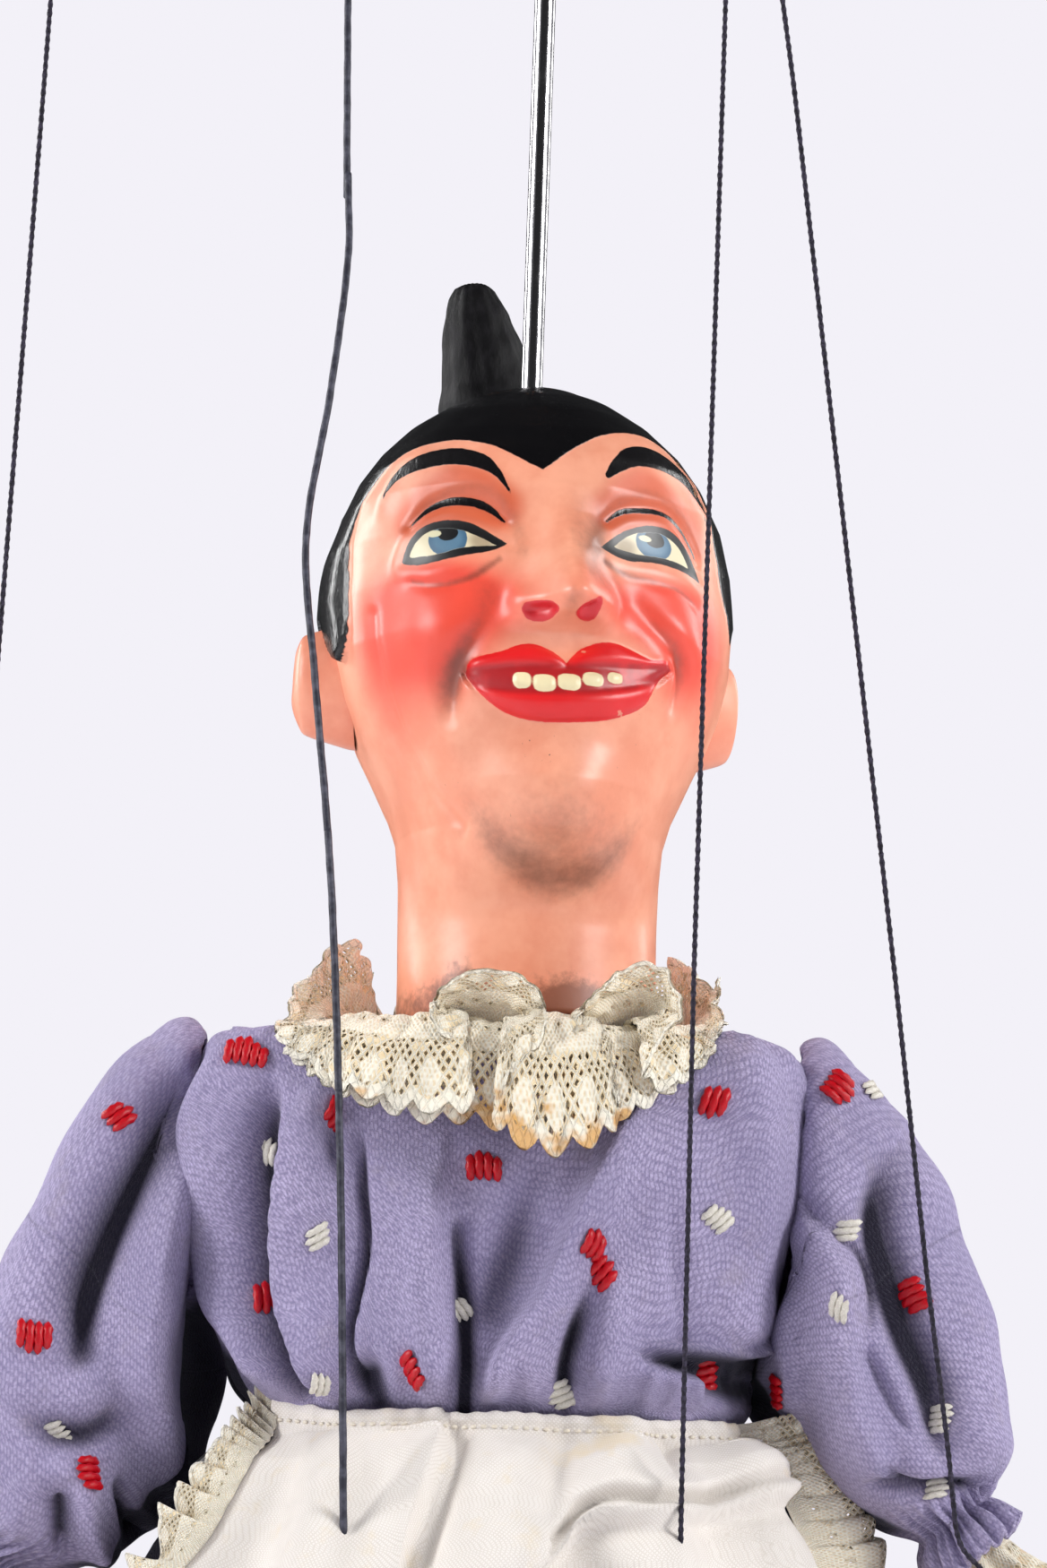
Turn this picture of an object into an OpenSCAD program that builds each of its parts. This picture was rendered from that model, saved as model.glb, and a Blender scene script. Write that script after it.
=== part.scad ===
// A dressed rod-and-string marionette of a maid, with the control that works it.
// Frame: the origin is the hang hole in the top of the grip, +Z is up and the puppet
// faces -Y, so its own right hand is at -X. The head, its rod and the grip stay still,
// the body hangs from a wire link under the neck, and strings run to hands and legs.
// Everything is in millimetres.

/* [Control] */
// Distance from the hang hole down to the crown of the head
hang_to_crown = 310; // [250:1:500]
// Turn of the control against the puppet's front, as the strings suggest
control_yaw = -30; // [-60:1:60]
// Radius of the grip where the hand holds it
grip_r = 12; // [9:0.5:18]
// Distance of the grip's lower end below the hang hole
grip_len = 100; // [80:1:140]
// Radius of the knob at the top of the grip
knob_r = 9; // [7:0.5:14]
// Distance between the flat sides of the knob
knob_flat = 16; // [12:0.5:22]
// Radius of the hang hole
hang_r = 3; // [2:0.1:5]
// Radius of the steel rod that carries the head
rod_r = 1.5; // [1:0.1:3]
// Depth of the rod's upper end below the hang hole
rod_top = 10; // [8:1:30]
// Half length of the leg bar between its string holes
bar_half = 33; // [25:0.5:50]
// Height of the leg bar
bar_h = 9; // [6:0.5:14]
// Thickness of the leg bar
bar_t = 5; // [3:0.5:8]
// Distance of the leg bar below the hang hole
bar_z = 25; // [18:1:45]
// Distance of the hand levers below the hang hole
lever_z = 55; // [45:1:80]
// Reach of the hand levers in front of the rod
lever_reach = 64; // [40:1:90]
// Half spread of the hand levers at their tips
lever_spread = 35; // [20:1:60]
// Half spread of the hand levers at their hinge
lever_root = 15; // [13:0.5:20]
// Radius of the hand lever's wire
lever_r = 0.8; // [0.5:0.1:1.5]
// Radius of the hinge pin of the hand levers
lever_pin_r = 1; // [0.8:0.1:2]

/* [Head] */
// Height of the head from crown to the base of the neck
head_h = 90; // [70:1:130]
// Turn of the head against the body in the pose shown
head_yaw = 10; // [-30:1:30]
// Half width of the head at its widest
head_w = 28.5; // [22:0.5:40]
// Depth of the forehead in front of the rod
face_d = 27.5; // [22:0.5:38]
// Depth of the back of the head behind the rod
back_d = 30; // [22:0.5:40]
// Radius of the neck
neck_r = 17.7; // [12:0.1:24]
// How far the nose stands out
nose_d = 8.5; // [4:0.5:14]
// How far the cheeks stand out
cheek_d = 2.6; // [0:0.1:6]
// How far the lips stand out
lip_d = 1.8; // [0:0.1:4]
// How far the chin stands out
chin_d = 2.4; // [0:0.1:6]
// Depth of the eye sockets
socket_d = 1.6; // [0:0.1:4]
// Height of the ears
ear_h = 16.5; // [10:0.5:24]
// How far the ears stand out from the side of the head
ear_out = 3.4; // [1:0.1:5]
// Height of the topknot above the crown
knot_h = 17; // [8:0.5:30]
// Half width of the topknot at its base
knot_r = 8.6; // [5:0.1:12]

// Lean of the neck against the rod, in degrees
head_lean = 1.5; // [-4:0.1:4]

/* [Neck joint] */
// Radius of the rod's eye to the middle of its wire
rod_eye_r = 4.5; // [3.5:0.1:7]
// Radius of the wire of the rod's eye
rod_eye_wire = 1.2; // [0.8:0.1:2]
// Radius of the link to the middle of its wire
link_r = 4.5; // [3.5:0.1:7]
// Radius of the link's wire
link_wire = 1; // [0.8:0.1:2]
// Radius of the body's eye to the middle of its wire
body_eye_r = 4.2; // [3.5:0.1:7]
// Depth of the rod's eye below the neck's base
rod_eye_drop = 4; // [2:0.5:8]
// Radius of the hollow in the top of the body round the link
neck_hollow_r = 9.5; // [7:0.5:14]

/* [Body] */
// Depth of the body's top below the crown
body_top = 94.5; // [80:0.5:120]
// Half width of the shoulders, in wood
shoulder_w = 34; // [26:0.5:44]
// Half depth of the chest, in wood
chest_d = 18; // [12:0.5:26]
// Half width of the waist, in wood
waist_w = 26; // [18:0.5:34]
// Depth of the hip pin below the crown
hip_drop = 168; // [150:1:200]
// Half width of the block between the thighs
hip_block = 11.4; // [8:0.1:18]
// Radius of the hip, knee and shoulder pins
pin_r = 1.5; // [1:0.1:2.5]

/* [Arms] */
// Distance of each arm's middle from the middle of the body at the shoulder
shoulder_x = 39.6; // [32:0.1:50]
// Depth of the shoulder pins below the crown
shoulder_drop = 102.5; // [90:0.5:120]
// Sideways slope of the puppet's right arm
splay_r = 24.5; // [0:0.5:45]
// Sideways slope of the puppet's left arm
splay_l = 22.5; // [0:0.5:45]
// Length of the upper arm from shoulder pin to elbow pin
upper_arm_l = 36; // [25:1:60]
// Length of the forearm from elbow pin to wrist
forearm_l = 32; // [22:1:55]
// Forward bend of the elbow in the pose shown
elbow_bend = 12; // [0:1:60]
// Radius of the upper arm
upper_arm_r = 4.6; // [4:0.1:9]
// Radius of the forearm at the wrist
wrist_r = 3.7; // [3:0.1:6]
// Radius of the elbow pins
elbow_pin_r = 1; // [0.8:0.1:1.5]
// Distance of the string's eye from the wrist
hand_eye_l = 12.5; // [6:0.5:18]
// Length of the hand
hand_l = 22; // [14:0.5:32]

/* [Legs] */
// Distance of each leg from the middle of the body
hip_x = 20; // [16:0.5:28]
// Length of the thigh from hip pin to knee pin
thigh_l = 74; // [55:1:100]
// Length of the shin from knee pin to the top of the shoe
shin_l = 70; // [50:1:95]
// Radius of the thigh at the top
thigh_r = 8.6; // [6:0.1:12]
// Radius of the shin at the top
shin_r = 7.2; // [5:0.1:10]
// Radius of the ankle
ankle_r = 4.8; // [3.5:0.1:7]
// Length of the shoe
shoe_l = 40; // [28:1:60]
// Height of the shoe
shoe_h = 17; // [10:0.5:28]

/* [Clothes] */
// Thickness of the dress cloth as it lies
cloth_t = 1.2; // [0.6:0.1:2.5]
// Depth of the waist seam below the crown
waist_drop = 143.7; // [130:0.1:160]
// Depth of the skirt's hem below the crown
hem_drop = 246; // [200:1:260]
// Half width of the skirt at its hem
hem_w = 70; // [55:1:100]
// Depth of the folds at the skirt's hem
fold_d = 6; // [0:0.5:12]
// Number of folds round the skirt
folds = 12; // [6:1:20]
// Depth of the pleats of the bodice
pleat_d = 1.5; // [0:0.1:3]
// Length of the apron
apron_l = 72; // [60:1:95]
// Thickness of the apron
apron_t = 0.9; // [0.5:0.1:2]
// Width of the lace on the apron's sides
apron_lace_w = 12; // [6:0.5:20]
// Radius of the lace collar at its outer edge
collar_r = 31; // [26:0.5:40]
// Radius of the lace collar at its inner edge
collar_in = 21.3; // [18:0.1:26]
// Thickness of the lace as it lies
lace_t = 0.9; // [0.5:0.1:2]
// Number of waves of the collar's lace
collar_waves = 11; // [6:1:20]
// Radius of the lace cuffs at their outer edge
cuff_r = 12.5; // [9:0.5:18]

/* [Strings] */
// Radius of the thin strings
string_r = 0.375; // [0.2:0.025:0.8]
// Radius of the waxed string of the puppet's right leg
waxed_r = 0.5; // [0.2:0.025:0.8]
// Radius of a knot
knot_ball = 1.15; // [0.9:0.05:2]

/* [Clearances] */
// Clearance round each turning pin
pin_gap = 0.05; // [0.02:0.01:0.1]
// Gap between wooden parts that move past each other
wood_gap = 0.35; // [0.2:0.05:1]
// Gap between cloth and what is under it
cloth_gap = 0.35; // [0.3:0.05:1]
// Clearance round a string in its hole
string_gap = 0.5; // [0.3:0.05:1]

// Half width of the dress at the waist
dress_waist_w = 31; // [24:0.5:40]
// Radius of the leg of a sleeve at the elbow
sleeve_r = 16.8; // [12:0.2:22]

/* [Hidden] */
$fn = 48;
crown = -hang_to_crown;
neck_base = crown - head_h;
rod_eye_z = neck_base - rod_eye_drop;
link_z = rod_eye_z - rod_eye_r + rod_eye_wire + link_wire + pin_gap - link_r;
body_eye_z = link_z - link_r + link_wire + link_wire + pin_gap - body_eye_r;
top_z = crown - body_top;
sho_z = crown - shoulder_drop;
hip_z = crown - hip_drop;
knee_z = hip_z - thigh_l;
waist_z = crown - waist_drop;
hem_z = crown - hem_drop;
shoe_z = knee_z - shin_l;
hollow_z = body_eye_z - body_eye_r - 1;

// Plain helpers

module rod_between(p, q, r) {
    v = q - p;
    l = norm(v);
    translate(p)
        rotate([0, acos(v[2] / l), atan2(v[1], v[0])])
        cylinder(h = l, r = r, $fn = 24);
}

module wire(pts, r) {
    for (i = [0 : len(pts) - 2])
        rod_between(pts[i], pts[i + 1], r);
    for (i = [1 : 1 : len(pts) - 2])
        translate(pts[i])
            sphere(r = r + 0.02, $fn = 24);
}

module torus(big, small) {
    rotate_extrude($fn = 40)
        translate([big, 0])
        circle(r = small, $fn = 24);
}

// A closed skin between an outer and an inner set of rings, both listed from the top
module skin(outer, inner) {
    m = len(outer);
    n = len(outer[0]);
    k = m * n;
    pts = concat([for (r = outer) for (p = r) p], [for (r = inner) for (p = r) p]);
    sides = [for (i = [0 : m - 2]) for (j = [0 : n - 1]) for (h = [0, 1])
        let (a = i * n + j, b = i * n + (j + 1) % n, c = b + n, d = a + n)
        h == 0 ? [a, b, c] : [a, c, d]];
    insides = [for (f = sides) [f[0] + k, f[2] + k, f[1] + k]];
    top = [for (j = [0 : n - 1]) for (h = [0, 1])
        let (a = j, b = (j + 1) % n)
        h == 0 ? [a, a + k, b + k] : [a, b + k, b]];
    low = [for (j = [0 : n - 1]) for (h = [0, 1])
        let (a = (m - 1) * n + j, b = (m - 1) * n + (j + 1) % n)
        h == 0 ? [a, b, b + k] : [a, b + k, a + k]];
    polyhedron(points = pts, faces = concat(sides, insides, top, low), convexity = 8);
}

// A closed solid through rings listed from the top, with a point at each end
module loft(rings, first, last) {
    m = len(rings);
    n = len(rings[0]);
    pts = concat([for (r = rings) for (p = r) p], [first, last]);
    sides = [for (i = [0 : m - 2]) for (j = [0 : n - 1]) for (h = [0, 1])
        let (a = i * n + j, b = i * n + (j + 1) % n, c = b + n, d = a + n)
        h == 0 ? [a, b, c] : [a, c, d]];
    top = [for (j = [0 : n - 1]) [m * n, (j + 1) % n, j]];
    low = [for (j = [0 : n - 1])
        [m * n + 1, (m - 1) * n + j, (m - 1) * n + (j + 1) % n]];
    polyhedron(points = pts, faces = concat(sides, top, low), convexity = 8);
}

// A closed slab between an outer and an inner sheet, rows from the top
module slab(outer, inner) {
    m = len(outer);
    n = len(outer[0]);
    k = m * n;
    pts = concat([for (r = outer) for (p = r) p], [for (r = inner) for (p = r) p]);
    face = [for (i = [0 : m - 2]) for (j = [0 : n - 2]) for (h = [0, 1])
        let (a = i * n + j, b = a + 1, c = b + n, d = a + n)
        h == 0 ? [a, b, c] : [a, c, d]];
    back = [for (f = face) [f[0] + k, f[2] + k, f[1] + k]];
    top = [for (j = [0 : n - 2]) for (h = [0, 1])
        h == 0 ? [j, j + k, j + 1 + k] : [j, j + 1 + k, j + 1]];
    low = [for (j = [0 : n - 2]) for (h = [0, 1])
        let (a = (m - 1) * n + j)
        h == 0 ? [a, a + 1, a + 1 + k] : [a, a + 1 + k, a + k]];
    left = [for (i = [0 : m - 2]) for (h = [0, 1])
        let (a = i * n, d = a + n)
        h == 0 ? [a, d, d + k] : [a, d + k, a + k]];
    right = [for (i = [0 : m - 2]) for (h = [0, 1])
        let (a = i * n + n - 1, d = a + n)
        h == 0 ? [a, a + k, d + k] : [a, d + k, d]];
    polyhedron(points = pts, faces = concat(face, back, top, low, left, right), convexity = 8);
}

// A rounded oval: a is measured from the front (-Y) towards +X
function oval(a, w, f, b, e) =
    let (s = sin(a), c = cos(a),
         k = pow(pow(abs(s), e) + pow(abs(c), e), -1 / e))
    [w * s * k, -(c > 0 ? f : b) * c * k];

// Control

module in_control() {
    rotate([0, 0, control_yaw])
        children();
}

module grip() {
    color([0.45, 0.27, 0.14])
    difference() {
        union() {
            intersection() {
                translate([0, 0, -9])
                    cylinder(h = 18, r = knob_r);
                translate([-20, -knob_flat / 2, -10])
                    cube([40, knob_flat, 20]);
            }
            rotate_extrude()
                polygon([[0, -8], [6.5, -8], [7, -11], [grip_r, -17], [grip_r, -62],
                         [grip_r - 2.5, -70], [grip_r - 0.5, -82], [grip_r - 1.5, 4 - grip_len],
                         [grip_r - 4.5, -grip_len], [0, -grip_len]]);
        }
        rotate([90, 0, 0])
            cylinder(h = 60, r = hang_r, center = true);
        translate([0, 0, -grip_len - 1])
            cylinder(h = grip_len + 1 - rod_top, r = rod_r + pin_gap);
        in_control() {
            translate([0, -4, -bar_z])
                rotate([90, 0, 0])
                cylinder(h = 20, r = 1.5 + pin_gap);
            translate([0, -6, -lever_z])
                rotate([0, 90, 0])
                cylinder(h = 60, r = lever_pin_r + pin_gap, center = true);
            translate([0, -grip_r + 1.5, lever_stop_z()])
                rotate([0, 90, 0])
                cylinder(h = 60, r = 1 + pin_gap, center = true);
        }
    }
}

function lever_stop_z() = -lever_z - lever_r - 1 - pin_gap;

module leg_bar() {
    color([0.62, 0.42, 0.24])
    in_control()
    translate([0, -grip_r - wood_gap - bar_t / 2, -bar_z])
    difference() {
        union() {
            cube([2 * bar_half, bar_t, bar_h], center = true);
            for (s = [-1, 1])
                translate([s * bar_half, 0, 0])
                    rotate([90, 0, 0])
                    cylinder(h = bar_t, r = bar_h / 2, center = true);
        }
        rotate([90, 0, 0])
            cylinder(h = 20, r = 1.5 + pin_gap, center = true);
        for (s = [-1, 1])
            translate([s * bar_half, 0, 0])
                cylinder(h = 20, r = string_r + string_gap, center = true);
    }
}

module leg_bar_screw() {
    color([0.75, 0.6, 0.3])
    in_control()
    translate([0, 0, -bar_z])
    difference() {
        union() {
            translate([0, -4.2, 0])
                rotate([90, 0, 0])
                cylinder(h = grip_r + bar_t + wood_gap * 2 - 4.2 + 0.5, r = 1.5);
            translate([0, -grip_r - bar_t - 2 * wood_gap, 0])
                rotate([90, 0, 0])
                cylinder(h = 1.6, r = 3.2);
        }
        translate([-5, -grip_r - bar_t - 2 * wood_gap - 2.2, -0.4])
            cube([10, 1.2, 0.8]);
    }
}

module hand_lever(s) {
    color([0.75, 0.76, 0.78])
    in_control() {
        translate([s * lever_root, -6, -lever_z])
            rotate([0, 90, 0])
            torus(lever_pin_r + pin_gap + lever_r, lever_r);
        rod_between([s * lever_root, -6.15 - lever_pin_r - lever_r, -lever_z],
                    [s * lever_spread, -lever_reach + 1.6, -lever_z], lever_r);
        translate([s * lever_spread, -lever_reach, -lever_z])
            torus(1.6, lever_r);
    }
}

module hand_lever_R() { hand_lever(-1); }
module hand_lever_L() { hand_lever(1); }

module lever_pin() {
    color([0.75, 0.76, 0.78])
    in_control()
    translate([0, -6, -lever_z])
    rotate([0, 90, 0]) {
        cylinder(h = 2 * lever_root + 6, r = lever_pin_r, center = true);
        for (s = [-1, 1])
            translate([0, 0, s * (lever_root + 2.6)])
                cylinder(h = 1.2, r = 2.2, center = true);
    }
}

module lever_stop() {
    color([0.75, 0.76, 0.78])
    in_control()
    translate([0, -grip_r + 1.5, lever_stop_z()])
    rotate([0, 90, 0])
        cylinder(h = 2 * lever_root + 10, r = 1, center = true);
}

module head_rod() {
    color([0.8, 0.81, 0.83]) {
        translate([0, 0, rod_eye_z + rod_eye_r])
            cylinder(h = -rod_top - 0.2 - rod_eye_z - rod_eye_r, r = rod_r);
        translate([0, 0, rod_eye_z])
            rotate([90, 0, 0])
            torus(rod_eye_r, rod_eye_wire);
    }
}

// Head, with z measured down from the crown

function side_w(z) = head_w / 28.5 * lookup(z, [[-90, neck_r * 28.5 / head_w],
    [-70, neck_r * 28.5 / head_w], [-65, 18.1], [-61, 19.3], [-57, 21.2], [-52, 23.6],
    [-46, 26], [-40, 27.5], [-33, 28.1], [-26, 27.6], [-20, 26.2], [-15, 24],
    [-11, 21.2], [-7, 17.2], [-4, 12.6], [-2, 8.2], [-0.6, 3.8]]);
function front_d(z) = face_d / 27.5 * lookup(z, [[-90, neck_r * 27.5 / face_d],
    [-76, neck_r * 27.5 / face_d], [-73, 19.6], [-70, 22.2], [-66, 24.6], [-60, 26.6],
    [-54, 27.2], [-48, 27.6], [-40, 27.8], [-30, 27.8], [-20, 27.2], [-15, 25.6],
    [-11, 23.2], [-7, 19.4], [-4, 15.2], [-2, 11], [-0.6, 6]]);
function rear_d(z) = back_d / 30 * lookup(z, [[-90, neck_r * 30 / back_d],
    [-76, neck_r * 30 / back_d], [-70, 19], [-64, 21.4], [-56, 24.6], [-48, 27.4],
    [-40, 29.2], [-30, 30], [-22, 29], [-15, 26.2], [-11, 23.6], [-7, 19.6], [-4, 15.2],
    [-2, 11], [-0.6, 6]]);
function hump(x, z, cx, cz, sx, sz) = exp(-pow((x - cx) / sx, 2) - pow((z - cz) / sz, 2));
function face_bumps(x, z) =
    nose_d * exp(-pow(x / (3.4 + 1.8 * lookup(z, [[-40, 1], [-26, 0]])), 2))
        * lookup(z, [[-43, 0], [-41, 0.12], [-39, 0.75], [-37, 1], [-34, 0.86],
                     [-29, 0.45], [-24, 0.12], [-19, 0]])
    + cheek_d * (hump(x, z, 17, -40, 8, 8) + hump(x, z, -17, -40, 8, 8))
    - socket_d * (hump(x, z, 12, -27, 7, 4) + hump(x, z, -12, -27, 7, 4))
    + lip_d * hump(x, z, 0, -48.5, 13, 4.6)
    + chin_d * hump(x, z, 0, -63, 9, 7);
function head_row(i) = lookup(i, [[0, -0.6], [3, -3.4], [7, -10], [13, -21], [32, -53],
    [40, -71], [42, -77], [45, -head_h]]);
function head_ring(z, n) = [for (j = [0 : n - 1])
    let (a0 = 360 * j / n, a = a0 - 27 * sin(a0), s = sin(a), c = cos(a),
         x = side_w(z) * s, d = c > 0 ? face_bumps(x, z) * pow(c, 0.5) : 0)
    [x - z * tan(head_lean), (c > 0 ? -front_d(z) : -rear_d(z)) * c - d, z]];

module topknot() {
    rings = [for (i = [0 : 8])
        let (t = i / 8, z = knot_h - 0.8 - (knot_h + 7) * t,
             w = knot_r * lookup(t, [[0, 0.2], [0.06, 0.42], [0.15, 0.55], [0.35, 0.69],
                                     [0.6, 0.85], [0.8, 0.98], [1, 1.12]]),
             cx = lookup(t, [[0, -7.2], [0.35, -5.4], [1, -2.4]]))
        [for (j = [0 : 19]) let (a = 18 * j)
            [cx + w * sin(a), 12.5 - 0.9 * w * cos(a), z]]];
    loft(rings, [-7.2, 12.5, knot_h], [-2.4, 12.5, -8]);
}

module ear(s) {
    translate([s * (head_w - 1.2) + 42 * tan(head_lean), 4, -42])
        rotate([0, 0, s * 14])
        scale([(ear_out + 1.6), ear_h * 0.34, ear_h / 2])
        sphere(r = 1, $fn = 20);
}

module head() {
    color([0.9, 0.62, 0.47])
    translate([0, 0, crown])
    rotate([0, 0, head_yaw])
    difference() {
        union() {
            loft([for (i = [0 : 45]) head_ring(head_row(i), 56)],
                 [0, 0, 0], [head_h * tan(head_lean), 0, -head_h]);
            topknot();
            ear(-1);
            ear(1);
        }
        translate([0, 0, -head_h - 5])
            cylinder(h = head_h + 40, r = rod_r + pin_gap);
        translate([0, 0, -head_h - 5])
            cylinder(h = 5 + rod_eye_r + rod_eye_wire - rod_eye_drop + 1.2,
                     r = rod_eye_r + rod_eye_wire + 0.8);
    }
}

module neck_link() {
    color([0.7, 0.71, 0.72])
    translate([0, 0, link_z])
        rotate([0, 90, 0])
        torus(link_r, link_wire);
}

module body_eye() {
    color([0.7, 0.71, 0.72]) {
        translate([0, 0, body_eye_z])
            rotate([90, 0, 0])
            torus(body_eye_r, link_wire);
        translate([0, 0, body_eye_z - body_eye_r - 12])
            cylinder(h = 12, r = link_wire);
    }
}

// Body

module torso() {
    rows = [[-0.1, 0.65 * shoulder_w, 9, 9.5], [-1.2, 0.8 * shoulder_w, 11.5, 13],
            [-4, 0.94 * shoulder_w, 14, 16.5], [-8, shoulder_w, 15.5, 18.5],
            [-20, 0.985 * shoulder_w, 16.2, 19.6], [-36, 0.88 * shoulder_w, 15.2, 18.4],
            [-48, waist_w + 0.5, 14, 15], [-60, waist_w, 13, 15]];
    color([0.78, 0.6, 0.4])
    difference() {
        union() {
            loft([for (r = rows) [for (j = [0 : 35])
                    let (p = oval(10 * j, r[1], r[2] * chest_d / 18, r[3] * chest_d / 18, 2.8))
                    [p[0], p[1], top_z + r[0]]]],
                 [0, 0, top_z], [0, 0, top_z - 60]);
            translate([-hip_block, -9, hip_z - 11])
                cube([2 * hip_block, 25, top_z - 50 - hip_z + 11]);
        }
        translate([0, 0, hollow_z])
            cylinder(h = 40, r = neck_hollow_r);
        translate([0, 0, hollow_z - 12])
            cylinder(h = 20, r = link_wire + pin_gap);
        translate([0, 0, hip_z])
            rotate([0, 90, 0])
            cylinder(h = 80, r = pin_r + pin_gap, center = true);
        for (s = [-1, 1])
            translate([s * 18, 0, sho_z])
                rotate([0, s * 90, 0])
                cylinder(h = 30, r = pin_r + pin_gap);
        for (s = [-1, 1])
            translate([s * (hip_block + 20.1), 0, hip_z])
                rotate([0, 90, 0])
                cylinder(h = 40, r = thigh_r + 1.6, center = true);
    }
}

module hip_pin() {
    color([0.7, 0.71, 0.72])
    translate([0, 0, hip_z])
    rotate([0, 90, 0]) {
        cylinder(h = 2 * hip_x + 19.6, r = pin_r, center = true);
        for (s = [-1, 1])
            translate([0, 0, s * (hip_x + 9.2)])
                cylinder(h = 1.2, r = 3, center = true);
    }
}

// Arms, each built for the puppet's left side and mirrored by s

function splay(s) = s > 0 ? splay_l : splay_r;
function arm_p(s, l, y) = [s * (shoulder_x + l * sin(splay(s))), y, sho_z - l * cos(splay(s))];

module on_arm(s) {
    translate([s * shoulder_x, 0, sho_z])
        rotate([0, -s * splay(s), 0])
        children();
}

module on_forearm(s) {
    on_arm(s)
        translate([0, 0, -upper_arm_l])
        rotate([-elbow_bend, 0, 0])
        children();
}

module shoulder_pin(s) {
    color([0.7, 0.71, 0.72])
    translate([s * 18.2, 0, sho_z])
        rotate([0, s * 90, 0]) {
            cylinder(h = shoulder_x + 4.9 - 18.2, r = pin_r);
            translate([0, 0, shoulder_x + 4.1 - 18.2])
                cylinder(h = 0.9, r = 2.6);
        }
}

module shoulder_pin_R() { shoulder_pin(-1); }
module shoulder_pin_L() { shoulder_pin(1); }

module upper_arm(s) {
    color([0.78, 0.6, 0.4])
    difference() {
        union() {
            translate([s * shoulder_x, 0, sho_z])
                rotate([0, 90, 0])
                cylinder(h = 8, r = 6.4, center = true);
            on_arm(s) {
                translate([0, 0, -upper_arm_l + 7])
                    cylinder(h = upper_arm_l - 13, r1 = upper_arm_r - 0.3, r2 = upper_arm_r);
                for (k = [-1, 1])
                    translate([k * 3.75, 0, -upper_arm_l]) {
                        rotate([0, 90, 0])
                            cylinder(h = 2.3, r = 4.6, center = true);
                        translate([-1.15, -4, 0])
                            cube([2.3, 8, 8]);
                    }
            }
        }
        translate([s * shoulder_x, 0, sho_z])
            rotate([0, 90, 0])
            cylinder(h = 30, r = pin_r + pin_gap, center = true);
        on_arm(s)
            translate([0, 0, -upper_arm_l])
            rotate([0, 90, 0])
            cylinder(h = 30, r = elbow_pin_r + pin_gap, center = true);
    }
}

module upper_arm_R() { upper_arm(-1); }
module upper_arm_L() { upper_arm(1); }

module elbow_pin(s) {
    color([0.7, 0.71, 0.72])
    on_arm(s)
        translate([0, 0, -upper_arm_l])
        rotate([0, 90, 0])
        cylinder(h = 10.4, r = elbow_pin_r, center = true);
}

module elbow_pin_R() { elbow_pin(-1); }
module elbow_pin_L() { elbow_pin(1); }

module forearm(s) {
    color([0.78, 0.6, 0.4])
    on_forearm(s)
    difference() {
        union() {
            rotate([0, 90, 0])
                cylinder(h = 4.6, r = 4.2, center = true);
            translate([-2.3, -3.4, -8])
                cube([4.6, 6.8, 8]);
            translate([0, 0, -forearm_l])
                cylinder(h = forearm_l - 6.6, r1 = wrist_r, r2 = 4.4);
        }
        rotate([0, 90, 0])
            cylinder(h = 30, r = elbow_pin_r + pin_gap, center = true);
        translate([0, 0, -forearm_l - 1])
            cylinder(h = 7, r = 1.5 + pin_gap);
    }
}

module forearm_R() { forearm(-1); }
module forearm_L() { forearm(1); }

module ball(p, r) {
    translate(p)
        sphere(r = r, $fn = 20);
}

// Carved hand with a peg into the wrist; its palm faces the body
module hand(s) {
    color([0.9, 0.62, 0.47])
    on_forearm(s)
    translate([0, 0, -forearm_l]) {
        translate([0, 0, -1])
            cylinder(h = 6.5, r = 1.5);
        difference() {
            union() {
                translate([0, 0, -4.05])
                    cylinder(h = 4, r1 = 3.6, r2 = wrist_r - 0.1);
                hull() {
                    ball([0, 0, -4], 3.1);
                    ball([0, -3.2, -9], 2.6);
                    ball([0, 3.2, -9.5], 2.6);
                }
                hull() {
                    ball([0, -3.2, -9], 2.6);
                    ball([0, 3.2, -9.5], 2.6);
                    ball([-s * 1, -2, -hand_l + 2.4], 1.8);
                    ball([-s * 1, 2.6, -hand_l + 3.6], 1.7);
                }
                hull() {
                    ball([0, -3, -6], 2.2);
                    ball([-s * 1.5, -6.4, -12.5], 1.5);
                }
            }
            translate([0, -2, -hand_eye_l])
                rotate([0, -90 * s, 0])
                translate([0, 0, -12])
                cylinder(h = 12, r = 0.6);
        }
    }
}

module hand_R() { hand(-1); }
module hand_L() { hand(1); }

// Wire eye in the back of the hand, which takes the hand string
module hand_eye(s) {
    color([0.75, 0.6, 0.3])
    on_forearm(s)
    translate([s * 2.3, -2, -forearm_l - hand_eye_l]) {
        rotate([0, -90 * s, 0])
            translate([0, 0, -1.1])
            cylinder(h = 3.2, r = 0.55);
        translate([s * 2.6, 0, 0])
            rotate([90, 0, 0])
            torus(1.5, 0.45);
    }
}

module hand_eye_R() { hand_eye(-1); }
module hand_eye_L() { hand_eye(1); }

// Legs

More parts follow.
